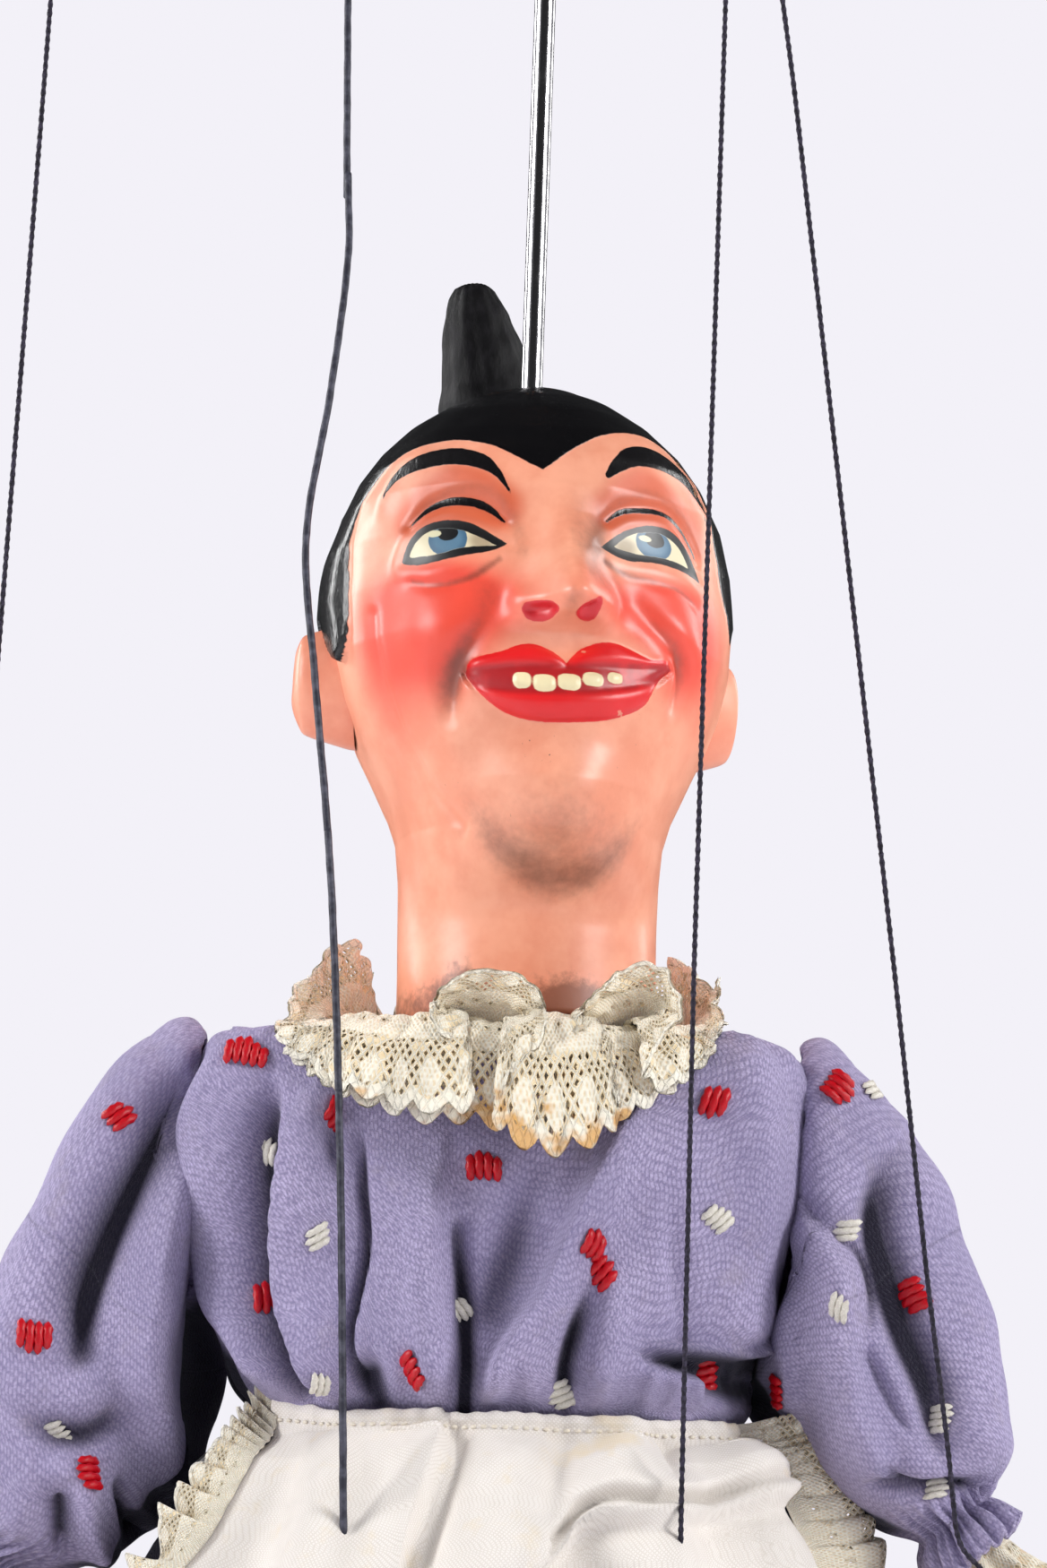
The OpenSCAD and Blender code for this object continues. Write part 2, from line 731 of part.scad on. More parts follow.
module thigh(s) {
    color([0.78, 0.6, 0.4])
    difference() {
        union() {
            translate([s * hip_x, 0, hip_z])
                rotate([0, 90, 0])
                cylinder(h = 16.4, r = thigh_r, center = true);
            translate([s * hip_x, 0, knee_z + 11])
                cylinder(h = thigh_l - 14, r1 = shin_r + 0.3, r2 = thigh_r - 0.4);
            for (k = [-1, 1])
                translate([s * hip_x + k * 5.4, 0, knee_z]) {
                    rotate([0, 90, 0])
                        cylinder(h = 3.2, r = 6.6, center = true);
                    translate([-1.6, -5.6, 0])
                        cube([3.2, 11.2, 12]);
                }
        }
        translate([s * hip_x, 0, hip_z])
            rotate([0, 90, 0])
            cylinder(h = 40, r = pin_r + pin_gap, center = true);
        translate([s * hip_x, 0, knee_z])
            rotate([0, 90, 0])
            cylinder(h = 40, r = pin_r + pin_gap, center = true);
        translate([s * hip_x, -2, knee_z + 16])
            rotate([90, 0, 0])
            cylinder(h = 12, r = 0.6);
    }
}

module thigh_R() { thigh(-1); }
module thigh_L() { thigh(1); }

module knee_pin(s) {
    color([0.7, 0.71, 0.72])
    translate([s * hip_x, 0, knee_z])
        rotate([0, 90, 0])
        cylinder(h = 14.6, r = pin_r, center = true);
}

module knee_pin_R() { knee_pin(-1); }
module knee_pin_L() { knee_pin(1); }

module knee_eye(s) {
    color([0.75, 0.6, 0.3])
    translate([s * hip_x, 0, knee_z + 16]) {
        translate([0, -2.2, 0])
            rotate([90, 0, 0])
            cylinder(h = shin_r - 0.6, r = 0.55);
        translate([0, -2.2 - shin_r + 0.6 - 1.5, 0])
            rotate([0, 90, 0])
            torus(1.5, 0.45);
    }
}

module knee_eye_R() { knee_eye(-1); }
module knee_eye_L() { knee_eye(1); }

module shin(s) {
    color([0.85, 0.8, 0.72])
    difference() {
        union() {
            translate([s * hip_x, 0, knee_z])
                rotate([0, 90, 0])
                cylinder(h = 6.9, r = 6.2, center = true);
            translate([s * hip_x - 3.45, -4.6, knee_z - 12])
                cube([6.9, 9.2, 12]);
            translate([s * hip_x, 1.8, knee_z - 26])
                cylinder(h = 17, r1 = shin_r + 0.8, r2 = shin_r - 0.6);
            translate([s * hip_x, 1.8, knee_z - shin_l])
                cylinder(h = shin_l - 26, r1 = ankle_r, r2 = shin_r + 0.8);
        }
        translate([s * hip_x, 0, knee_z])
            rotate([0, 90, 0])
            cylinder(h = 40, r = pin_r + pin_gap, center = true);
    }
}

module shin_R() { shin(-1); }
module shin_L() { shin(1); }

module shoe(s) {
    color([0.12, 0.1, 0.1])
    translate([s * hip_x, 1.6, shoe_z - 0.05]) {
        translate([0, 0.2, -6])
            cylinder(h = 6, r1 = 6.2, r2 = ankle_r + 1);
        hull() {
            translate([0, 4.5, -shoe_h + 3])
                cylinder(h = shoe_h - 7, r1 = 6, r2 = 5.6, $fn = 32);
            translate([0, 11.5 - shoe_l * 0.72, -shoe_h + 3])
                cylinder(h = 3, r1 = 7, r2 = 5.4, $fn = 32);
        }
        hull() {
            translate([0, 4.5, -shoe_h])
                cylinder(h = 3.05, r = 6.3, $fn = 32);
            translate([0, 11.5 - shoe_l * 0.72, -shoe_h])
                cylinder(h = 3.05, r = 7.3, $fn = 32);
        }
    }
}

module shoe_R() { shoe(-1); }
module shoe_L() { shoe(1); }

// Dress

bodice_rows = [[0, 22, 21.2, 20.2], [-0.6, 34, 22.2, 21], [-1.8, 40, 23.2, 22.4],
               [-7, 41.2, 25, 23.4], [-18, 39.6, 27, 24], [-28, 37.6, 28, 24],
               [-38.5, 36.2, 28, 22.6], [-46, 34.5, 26.4, 20.6], [-51, 31.4, 23.6, 19.2]];

// The bodice hangs from the neck's base to the waist, and widens with the shoulders and chest
bodice_top = neck_base - 2.4;
fall_k = (bodice_top - waist_z) / 51.3;
wide_k = shoulder_x / 39.6;
deep_k = chest_d / 18;

// Pleats in front, as ridges and valleys at x, which run to the waist at t = 1
function ridge(x, at, wide) = exp(-pow((x - at) / wide, 2));
function bodice_pleats(x, t) =
    1.3 * t * ridge(x, -35.8, 3.2) - 1.5 * ridge(x, -31.5, 3.2) + 1.5 * ridge(x, -26.5, 4)
    - 0.7 * ridge(x, -20.5, 3) + 0.8 * ridge(x, -13.5, 5) - 1.8 * t * ridge(x, -6.5, 3.4)
    + 1.6 * ridge(x, 14.5 - 18 * t, 4.4) - 0.9 * t * ridge(x, 6.5, 3.6) + ridge(x, 31, 5);

function bodice_ring(i, inset, n) =
    let (r = bodice_rows[i], t = i / (len(bodice_rows) - 1), e = min(1, max(0, t * 2.4 - 0.4)),
         z = i > 2 ? 0 : i == 2 ? 0.6 * inset : inset)
    [for (j = [0 : n - 1])
        let (a0 = 360 * j / n, a = a0 - 18 * sin(a0),
             f = pleat_d * e * (cos(a) > 0 ? bodice_pleats(r[1] * sin(a), t) / 1.2
                                : -sin(180 * cos(a)) * cos(14 * a + 40 * sin(a))),
             p = oval(a, r[1] - inset + f, r[2] - inset + f, r[3] - inset + f, 2.5))
        [p[0] * wide_k, p[1] * deep_k, bodice_top + r[0] * fall_k - z]];

module bodice() {
    m = len(bodice_rows) - 1;
    color([0.47, 0.45, 0.63])
    difference() {
        skin([for (i = [0 : m]) bodice_ring(i, 0, 60)],
             [for (i = [0 : m]) bodice_ring(i, cloth_t, 60)]);
        for (s = [-1, 1]) {
            translate([s * (shoulder_x + 6.4), 0, sho_z])
                rotate([0, 90, 0])
                cylinder(h = 17, r = 7.3, center = true);
            translate([s * (shoulder_x + 5.4), -2.4, sho_z - 6.2])
                rotate([0, 90, 0])
                cylinder(h = 17, r = 8.2, center = true);
        }
    }
}

skirt_rows = [[0, 31, 24, 20, 0.1], [-8, 37, 31, 27.4, 0.2], [-21, 43, 37, 35, 0.35],
              [-46, 51, 44, 45, 0.6], [-76, 60, 52.4, 55, 0.8], [-106, 67, 59, 63, 0.95],
              [-134.3, 72, 64, 68, 1.05]];

waist_k = dress_waist_w / 31;
function skirt_p(i, a, out) =
    let (r = skirt_rows[i], t = -r[0] / 134.3, k = waist_k + (hem_w / 72 - waist_k) * t,
         f = fold_d * r[4] * cos(folds * a + 25 * sin(2 * a)) + out,
         p = oval(a, r[1] * k + f, r[2] * k + f, r[3] * k + f, 2.15))
    [p[0], p[1], waist_z - 0.3 - t * (hem_drop - waist_drop)];

module string_holes() {
    for (p = [leg_hole_R, leg_hole_L])
        rod_between(p + [0, -10, 10], p + [0, 10, -10], waxed_r + string_gap + 0.4);
}

module skirt() {
    color([0.47, 0.45, 0.63])
    difference() {
        skin([for (i = [0 : 6]) [for (j = [0 : 71]) skirt_p(i, 5 * j, 0)]],
             [for (i = [0 : 6]) [for (j = [0 : 71]) skirt_p(i, 5 * j, -cloth_t)]]);
        string_holes();
    }
}

// Sleeves: the outer and inner edge of each ring in the front view, then its half depth
sleeve_rows = [[41.8, -2.2, 41.8, -34, 13.2], [47.6, -4.2, 41.5, -36.6, 15.2],
               [53.8, -10, 41.2, -39.6, 16.4], [59.2, -18.2, 41.2, -43.6, 16.8],
               [63.8, -30.6, 41.8, -48.6, 16.8], [67.4, -42, 43.8, -54.4, 16.2],
               [70.6, -60, 48.2, -66.5, 14], [71, -69.6, 58, -75, 7.4]];

arm_k = (upper_arm_l + forearm_l) / 68;
sleeve_k = sleeve_r / 16.8;
// One long valley in front between two ridges, which crosses the sleeve as it falls
function sleeve_fold(i, a, s) =
    let (v = lookup(i, [[0, 140], [1, 130], [2, 118], [3, 100], [4, 88], [6, 84], [7, 80]]),
         d = s > 0 ? 0.75 : 1, b = abs(a))
    d * (1.3 * ridge(b, v - 40, 18) - 1.9 * ridge(b, v, 15) + 1.2 * ridge(b, v + 36, 17));
function sleeve_ring(s, i, inset, n) =
    let (r = sleeve_rows[i], sh = tan(splay(s)) - tan(22.5),
         cx = 41.2 + ((r[0] + r[2]) / 2 - 41.2) * arm_k, cz = (r[1] + r[3]) / 2 * arm_k,
         ux = (r[0] - r[2]) / 2 * arm_k, uz = (r[1] - r[3]) / 2 * arm_k, ul = norm([ux, uz]),
         k = (ul - inset) / ul, b = r[4] * sleeve_k - inset,
         w = i == 0 || i == 7 ? 0.2 : 1)
    [for (j = [0 : n - 1])
        let (a0 = 360 * j / n, a = s * a0, in_front = sin(a) < 0,
             turned = a0 > 180 ? 360 - a0 : a0,
             g = w * (in_front ? sleeve_fold(i, turned, s) : 0.9 * cos(7 * a + 20 * i)),
             kk = k + g / ul,
             z = cz + uz * kk * cos(a), x = cx + ux * kk * cos(a) - sh * min(0, z + 8)
                 - (i == 0 ? 3.4 * pow(sin(a), 2) : 0))
        [s * (x + shoulder_x - 39.6), -(i * 0.9) + (b + g) * sin(a), neck_base + z]];

module sleeve(s) {
    color([0.47, 0.45, 0.63])
    skin([for (i = [0 : 7]) sleeve_ring(s, i, 0, 36)],
         [for (i = [0 : 7]) sleeve_ring(s, i, cloth_t - 0.2, 36)]);
}

module sleeve_R() { sleeve(-1); }
module sleeve_L() { sleeve(1); }

// Lace cuff, a ruffled cone round the wrist
module cuff(s) {
    rows = [[-0.5, wrist_r + 1.1], [-3.5, wrist_r + 3.2], [-8, cuff_r]];
    color([0.9, 0.86, 0.74])
    difference() {
    on_forearm(s)
    translate([0, 0, -forearm_l])
    skin([for (r = rows) [for (j = [0 : 31])
            let (a = 360 * j / 32, f = r[1] / cuff_r * 1.3 * cos(8 * a))
            [(r[1] + f) * sin(a), -(r[1] + f) * cos(a), r[0] + lace_t + f * 0.5]]],
         [for (r = rows) [for (j = [0 : 31])
            let (a = 360 * j / 32, f = r[1] / cuff_r * 1.3 * cos(8 * a))
            [(r[1] + f - 0.5) * sin(a), -(r[1] + f - 0.5) * cos(a), r[0] + f * 0.5]]]);
        rod_between(s < 0 ? hand_mid_R : hand_mid_L, hand_knot(s), string_r + string_gap);
    }
}

module cuff_R() { cuff(-1); }
module cuff_L() { cuff(1); }

// Lace collar, a wavy ring that stands at the sides and falls in front, gathered round the
// neck's base, which the head's lean sets off to one side
neck_off = head_h * tan(head_lean);
function collar_p(i, j, n, up) =
    let (a = 360 * j / n, t = i / 3,
         r = collar_in + (collar_r - collar_in) * t,
         n_k = collar_r / 31,
         w = t * 2.4 * n_k * cos(collar_waves * a + 30 * sin(a)),
         fall = -21 * n_k * pow(t, 1.5) * pow(max(0, cos(a)), 4),
         k = 1 + 0.04 * t)
    [(r * k + t * 1.2 * n_k * sin(collar_waves * a)) * sin(a) + neck_off * (1 - t) * cos(head_yaw),
     -r * cos(a) * 0.98 + neck_off * (1 - t) * sin(head_yaw),
     neck_base - 1.5 + up + 7 * n_k * t + w + fall];

module collar_lace() {
    color([0.9, 0.86, 0.74])
    skin([for (i = [3 : -1 : 0]) [for (j = [0 : 65]) collar_p(i, j, 66, lace_t)]],
         [for (i = [3 : -1 : 0]) [for (j = [0 : 65]) collar_p(i, j, 66, 0)]]);
}

// Apron, which follows the skirt's front
apron_gap = cloth_gap + 0.1;
function over_skirt(u, a, out) =
    let (i = min(5, floor(u)), f = u - i, p = skirt_p(i, a, out), q = skirt_p(i + 1, a, out))
    p + (q - p) * f;
apron_end = lookup(apron_l / (hem_drop - waist_drop) * 134.3,
                   [[0, 0], [8, 1], [21, 2], [46, 3], [76, 4], [106, 5], [134.3, 6]]);
function apron_u(i) = lookup(i, [[0, 0.18], [1, 0.6], [2, 1], [3, 2], [4, 3], [5, 4],
                                 [6, apron_end]]);
function apron_spare(i) = lookup(i, [[0, 1], [1, 4], [2, 8], [3, 14], [4, 17], [6, 18]]);
function apron_a(i, j) = abs(j) < 13 ? 5 * j : sign(j) * (60 + apron_spare(i) * (abs(j) - 12) / 4);

module apron() {
    color([0.93, 0.91, 0.85])
    difference() {
        slab([for (i = [0 : 6]) [for (j = [-16 : 16])
                over_skirt(apron_u(i), apron_a(i, j), apron_gap + apron_t)]],
             [for (i = [0 : 6]) [for (j = [-16 : 16])
                over_skirt(apron_u(i), apron_a(i, j), apron_gap)]]);
        string_holes();
    }
}

module apron_lace(s) {
    wide = apron_lace_w * 1.5;
    function at(i, j, out) =
        let (u = apron_u(i / 3), a0 = 60.9 + apron_spare(i / 3),
             a = a0 + wide * (1 - 0.12 * i / 3) * j / 3)
        over_skirt(u, s * a, out + j * (0.5 + 0.45 * cos(180 * i)));
    js = s > 0 ? [0, 1, 2, 3] : [3, 2, 1, 0];
    color([0.9, 0.86, 0.74])
    slab([for (i = [0 : 18]) [for (j = js) at(i, j, apron_gap + 0.2 + lace_t)]],
         [for (i = [0 : 18]) [for (j = js) at(i, j, apron_gap + 0.2)]]);
}

module apron_lace_R() { apron_lace(-1); }
module apron_lace_L() { apron_lace(1); }

// Band round the waist behind, tied in a bow
bow_y = 24.2 * waist_k + 6.8;
module apron_ties() {
    function band(a, z, out) = let (p = skirt_p(0, a, out)) [p[0], p[1], waist_z - 0.6 - z];
    color([0.93, 0.91, 0.85]) {
        slab([for (z = [1.6, 5.6]) [for (a = [81 : 9 : 279]) band(a, z, 1.9 + z * 1.06 + apron_t)]],
             [for (z = [1.6, 5.6]) [for (a = [81 : 9 : 279]) band(a, z, 1.9 + z * 1.06)]]);
        for (s = [-1, 1])
            translate([s * 9, bow_y, waist_z - 2.6])
                rotate([90, s * 14, 0])
                scale([1, 0.55, 1])
                torus(6, 1.3);
        translate([0, bow_y - 2.5, waist_z - 2.1])
            sphere(r = 3.4, $fn = 20);
    }
}

// Strings: points from the control down, then from the neck's height down

bar_y = -grip_r - wood_gap - bar_t / 2;
function ctrl(x, y, z) = [x * cos(control_yaw) - y * sin(control_yaw),
                          x * sin(control_yaw) + y * cos(control_yaw), z];
bar_R = ctrl(-bar_half, bar_y, -bar_z + bar_h / 2);
bar_L = ctrl(bar_half, bar_y, -bar_z + bar_h / 2);
tip_R = ctrl(-lever_spread, -lever_reach, -lever_z + lever_r);
tip_L = ctrl(lever_spread, -lever_reach, -lever_z + lever_r);
leg_hole_R = [-21.3, -34.5, -472];
leg_hole_L = [24, -34.5, -471];
join_z = -396;
leg_mid_R = [-26.2, -34, join_z];
leg_mid_L = [23.4, -37.5, join_z];
hand_mid_R = [-72.2, -26, join_z];
hand_mid_L = [50.4, -30, join_z];
knee_knot_R = [-hip_x, -shin_r - 3.1, knee_z + 19.95];
knee_knot_L = [hip_x, -shin_r - 3.1, knee_z + 19.95];

function hand_knot(s) =
    let (l = forearm_l + hand_eye_l, w = s * 4.9,
         sp = splay(s), zz = -upper_arm_l - l * cos(elbow_bend) + 2 * sin(elbow_bend),
         yy = -l * sin(elbow_bend) - 2 * cos(elbow_bend))
    [s * (shoulder_x - zz * sin(sp)) + w * cos(sp), yy,
     sho_z + zz * cos(sp) + s * w * sin(sp) + 3.95];

// A string's upper run: a knot on the control, then the string down to the neck's height
module string_top(p, pts, r) {
    color([0.1, 0.1, 0.11]) {
        translate(p + [0, 0, knot_ball + 0.05])
            sphere(r = knot_ball, $fn = 24);
        wire(concat([p + [0, 0, 0.3]], [p - [0, 0, bar_h + 1]], pts), r);
    }
}

// A string's lower run, with the loop that it is tied in at its end
module string_low(pts, r, turn) {
    color([0.1, 0.1, 0.11]) {
        wire(pts, r);
        translate(pts[len(pts) - 1] - [0, 0, 1.75])
            rotate([90, 0, turn])
            torus(1.75, r);
    }
}

module leg_string_R() {
    string_top(bar_R, [[-31.3, -15, -262], [-30.2, -19, -287], [-30.6, -22, -303],
                       [-33.6, -26, -324], [-33.8, -29, -342], [-32, -31.5, -361],
                       leg_mid_R], waxed_r);
}

module leg_string_L() { string_top(bar_L, [leg_mid_L], string_r); }
module hand_string_R() { string_top(tip_R, [hand_mid_R], string_r); }
module hand_string_L() { string_top(tip_L, [hand_mid_L], string_r); }

module leg_string_low_R() {
    string_low([leg_mid_R - [0, 0, 0.3], [-23.2, -36.5, -434], leg_hole_R + [0, -2, 2],
                leg_hole_R + [0, 4, -4], knee_knot_R], waxed_r, 0);
}

module leg_string_low_L() {
    string_low([leg_mid_L - [0, 0, 0.3], leg_hole_L + [0, -2, 2],
                leg_hole_L + [0, 4, -4], knee_knot_L], string_r, 0);
}

module hand_string_low_R() {
    string_low([hand_mid_R - [0, 0, 0.3], hand_knot(-1)], string_r, 90);
}

module hand_string_low_L() {
    string_low([hand_mid_L - [0, 0, 0.3], hand_knot(1)], string_r, 90);
}

grip();
leg_bar();
leg_bar_screw();
hand_lever_R();
hand_lever_L();
lever_pin();
lever_stop();
head_rod();
head();
neck_link();
body_eye();
torso();
hip_pin();
shoulder_pin_R();
shoulder_pin_L();
upper_arm_R();
upper_arm_L();
elbow_pin_R();
elbow_pin_L();
forearm_R();
forearm_L();
hand_R();
hand_L();
hand_eye_R();
hand_eye_L();
thigh_R();
thigh_L();
knee_pin_R();
knee_pin_L();
knee_eye_R();
knee_eye_L();
shin_R();
shin_L();
shoe_R();
shoe_L();
bodice();
skirt();
sleeve_R();
sleeve_L();
cuff_R();
cuff_L();
collar_lace();
apron();
apron_lace_R();
apron_lace_L();
apron_ties();
leg_string_R();
leg_string_L();
hand_string_R();
hand_string_L();
leg_string_low_R();
leg_string_low_L();
hand_string_low_R();
hand_string_low_L();
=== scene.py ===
# A dressed marionette of a maid: painted head on a steel rod, twill dress, linen apron,
# lace and four strings. Sizes are in millimetres in the part's own frame, and pieces
# are made in metres with MM.
import math

import bpy
import numpy as np
from mathutils import Matrix, Vector
from mathutils.bvhtree import BVHTree


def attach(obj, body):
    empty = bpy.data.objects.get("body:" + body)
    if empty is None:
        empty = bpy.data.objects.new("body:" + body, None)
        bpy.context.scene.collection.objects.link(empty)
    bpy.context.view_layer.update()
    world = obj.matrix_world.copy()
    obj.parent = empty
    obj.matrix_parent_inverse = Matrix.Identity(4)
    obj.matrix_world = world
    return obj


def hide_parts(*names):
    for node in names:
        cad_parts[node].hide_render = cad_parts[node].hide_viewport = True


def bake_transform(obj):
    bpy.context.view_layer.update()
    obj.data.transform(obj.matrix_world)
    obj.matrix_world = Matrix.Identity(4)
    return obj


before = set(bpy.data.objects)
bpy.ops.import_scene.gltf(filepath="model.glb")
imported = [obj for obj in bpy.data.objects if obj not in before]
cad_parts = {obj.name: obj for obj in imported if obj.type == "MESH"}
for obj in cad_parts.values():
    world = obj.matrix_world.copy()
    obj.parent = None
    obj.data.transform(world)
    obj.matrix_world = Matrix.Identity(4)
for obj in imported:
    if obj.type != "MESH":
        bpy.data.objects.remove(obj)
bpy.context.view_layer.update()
MM = 0.001

# Driving sizes, the same as the part's
CROWN_Z = -310.0
HEAD_YAW = math.radians(10)
HEAD_H = 90.0
NECK_R = 17.7
HEAD_LEAN = 0.026
SHOULDER_Z = -412.5
SHOULDER_X = 39.6
WAIST_Z = -453.7
HEM_Z = -556.0
SPLAY = {"R": math.radians(24.5), "L": math.radians(22.5)}
SIDE = {"R": -1, "L": 1}
UPPER_ARM = 36.0
FOREARM = 32.0
ELBOW_BEND = math.radians(12)
WRIST_R = 3.7
CONTROL_YAW = math.radians(-30)
FOLD_D = 6.0
CLOTH_T = 0.55
LACE_T = 0.35
LINEN_T = 0.4
APRON_OUT = 0.75
FLOOR_Z = -639.2

# Camera, as the photograph has it
PICTURE = (1168, 1750)
LENS_MM = 100.0
SENSOR_MM = 36.0
LOOK_AT = np.array([0.8, 0.0, -365.5])
CAMERA_FROM = 600.0
CAMERA_RISE = math.radians(-12)
CAMERA_ROLL = math.radians(2)
FOCAL_PX = LENS_MM / SENSOR_MM * PICTURE[1]
cam_back = np.array([0.0, -math.cos(CAMERA_RISE), math.sin(CAMERA_RISE)])
cam_flat = np.array([1.0, 0.0, 0.0])
cam_right = math.cos(CAMERA_ROLL) * cam_flat + math.sin(CAMERA_ROLL) * np.cross(cam_back, cam_flat)
cam_up = np.cross(cam_back, cam_right)
cam_at = LOOK_AT + cam_back * CAMERA_FROM


def make_camera():
    data = bpy.data.cameras.new("camera")
    data.lens = LENS_MM
    data.sensor_width = SENSOR_MM
    data.clip_start = 0.01
    data.clip_end = 20
    camera = bpy.data.objects.new("camera", data)
    bpy.context.scene.collection.objects.link(camera)
    axes = Matrix([[*row] for row in np.stack([cam_right, cam_up, cam_back], axis=1)])
    camera.matrix_world = Matrix.Translation(Vector(cam_at * MM)) @ axes.to_4x4()
    bpy.context.scene.camera = camera


def sight_line(x, y):
    """The direction from the camera through a point of the picture."""
    d = -cam_back + cam_right * (x - PICTURE[0] / 2) / FOCAL_PX - cam_up * (y - PICTURE[1] / 2) / FOCAL_PX
    return d / np.linalg.norm(d)


def seen_at(x, y, depth):
    """The point at that y of the part's frame which shows at a point of the picture."""
    d = sight_line(x, y)
    return cam_at + d * (depth - cam_at[1]) / d[1]


# Small helpers


def smooth(t):
    t = np.clip(t, 0, 1)
    return t * t * (3 - 2 * t)


def along(x, stops):
    """Straight lines between (x, value) stops."""
    stops = sorted(stops)
    return np.interp(x, [s[0] for s in stops], [s[1] for s in stops])


def hump(x, z, cx, cz, sx, sz):
    return np.exp(-(((x - cx) / sx) ** 2) - ((z - cz) / sz) ** 2)


def turn(columns):
    """Angles all the way round, as one row."""
    return 2 * math.pi * np.arange(columns)[None] / columns


def down(rows):
    """Shares from 0 to 1, as one column."""
    return np.linspace(0, 1, rows)[:, None]


def humps(x, z, rows):
    """The sum of soft humps, each given by its height, its middle and its half widths."""
    return sum(height * hump(x, z, *row) for height, *row in rows)


def ripple(points, size, seed):
    """A soft unevenness between about -1 and 1, with features of about that size."""
    r = np.random.default_rng(seed)
    total = 0
    for _ in range(7):
        way = r.normal(size=3)
        way = way / np.linalg.norm(way) * r.uniform(0.6, 1.5) * 2 * math.pi / size
        total = total + np.sin(points @ way + r.uniform(0, 6.28))
    return total / 3.2


def spline(points, steps):
    """A smooth line through points, whose sharp corners are given as (..., "corner")."""
    sharp = [i for i, p in enumerate(points) if p[-1] == "corner"]
    bare = np.array([[float(v) for v in p if v != "corner"] for p in points])
    out = []
    for i in range(len(bare) - 1):
        a = bare[i] if i in sharp or i == 0 else bare[i - 1]
        d = bare[i + 1] if i + 1 in sharp or i + 2 >= len(bare) else bare[i + 2]
        b, c = bare[i], bare[i + 1]
        for t in np.arange(steps) / steps:
            out.append(0.5 * (2 * b + (c - a) * t + (2 * a - 5 * b + 4 * c - d) * t * t
                              + (3 * b - a - 3 * c + d) * t**3))
    return np.array(out + [bare[-1]])


def distance_along(points, axis):
    """How far each point lies along its row or column."""
    steps = np.linalg.norm(np.diff(points, axis=axis), axis=-1)
    return np.cumsum(np.insert(steps, 0, 0, axis=axis), axis=axis)


def turned(points, angle):
    """Points turned about Z."""
    c, s = math.cos(angle), math.sin(angle)
    x, y, z = points[..., 0], points[..., 1], points[..., 2]
    return np.stack([x * c - y * s, x * s + y * c, z], -1)


def from_stretch(x, z, a, b):
    """How far each place lies off the stretch from a to b, and at which share of it."""
    d = b - a
    t = np.clip(((x - a[0]) * d[0] + (z - a[1]) * d[1]) / max(d[:2] @ d[:2], 1e-9), 0, 1)
    return x - a[0] - t * d[0], z - a[1] - t * d[1], t


def stroke(x, z, points):
    """How deep each place lies in a brush stroke through points (x, z) or (x, z, half width)."""
    line = spline([(*p, 0)[:3] for p in points], 8)
    best = np.full(np.shape(x), -50.0)
    for a, b in zip(line[:-1], line[1:], strict=True):
        off_x, off_z, t = from_stretch(x, z, a, b)
        best = np.maximum(best, a[2] + (b[2] - a[2]) * t - np.hypot(off_x, off_z))
    return best


def inside(x, z, points):
    """How deep each place lies inside a closed outline, below 0 outside it."""
    line = spline([*points, points[0]], 8)
    far = np.full(np.shape(x), 50.0)
    within = np.zeros(np.shape(x), bool)
    for a, b in zip(line[:-1], line[1:], strict=True):
        off_x, off_z, _ = from_stretch(x, z, a, b)
        far = np.minimum(far, np.hypot(off_x, off_z))
        if a[1] != b[1]:
            crossing = a[0] + (z - a[1]) / (b[1] - a[1]) * (b[0] - a[0])
            within ^= ((a[1] > z) != (b[1] > z)) & (x < crossing)
    return np.where(within, far, -far)


def dot(x, z, cx, cz, rx, rz, power=2.0):
    """How deep each place lies inside an oval, squarer with more power."""
    far = (np.abs((x - cx) / rx) ** power + np.abs((z - cz) / rz) ** power) ** (1 / power)
    return (1 - far) * min(rx, rz)


def dots(x, z, rows, power=2.0):
    return np.maximum.reduce([dot(x, z, *row, power) for row in rows])


def deepest(x, z, *outlines):
    return np.maximum.reduce([inside(x, z, outline) for outline in outlines])


def grooves(x, z, width, *lines):
    """1 in the middle of the lines, falling off over width."""
    return sum(np.exp(-((np.minimum(stroke(x, z, line), 0) / width) ** 2)) for line in lines)


# Meshes


def grid_faces(rows, columns, closed):
    n = columns if closed else columns - 1
    i, j = np.meshgrid(np.arange(rows - 1), np.arange(n), indexing="ij")
    k = (j + 1) % columns
    faces = np.stack([i * columns + j, (i + 1) * columns + j, (i + 1) * columns + k, i * columns + k], -1)
    return faces.reshape(-1, 4)


def capped(rows, columns):
    """The faces of a closed tube with both its ends."""
    last = (rows - 1) * columns
    ends = [list(range(columns)), list(range(last, last + columns))[::-1]]
    return grid_faces(rows, columns, True).tolist() + ends


def piece(name, points, faces, material, uv=None, values=None):
    """A mesh from points in millimetres. uv is a pair for each point, values are its attributes."""
    mesh = bpy.data.meshes.new(name)
    points = (np.asarray(points).reshape(-1, 3) * MM).tolist()
    mesh.from_pydata(points, [], [list(map(int, f)) for f in faces])
    if uv is not None:
        layer = mesh.uv_layers.new(name="cloth")
        corner = np.zeros(len(mesh.loops), int)
        mesh.loops.foreach_get("vertex_index", corner)
        layer.data.foreach_set("uv", np.asarray(uv, np.float32).reshape(-1, 2)[corner].ravel())
    for key, value in (values or {}).items():
        attribute = mesh.attributes.new(key, "FLOAT", "POINT")
        attribute.data.foreach_set("value", np.asarray(value, np.float32).ravel())
    mesh.materials.append(material)
    mesh.polygons.foreach_set("use_smooth", [True] * len(mesh.polygons))
    mesh.update()
    obj = bpy.data.objects.new(name, mesh)
    bpy.context.scene.collection.objects.link(obj)
    return obj


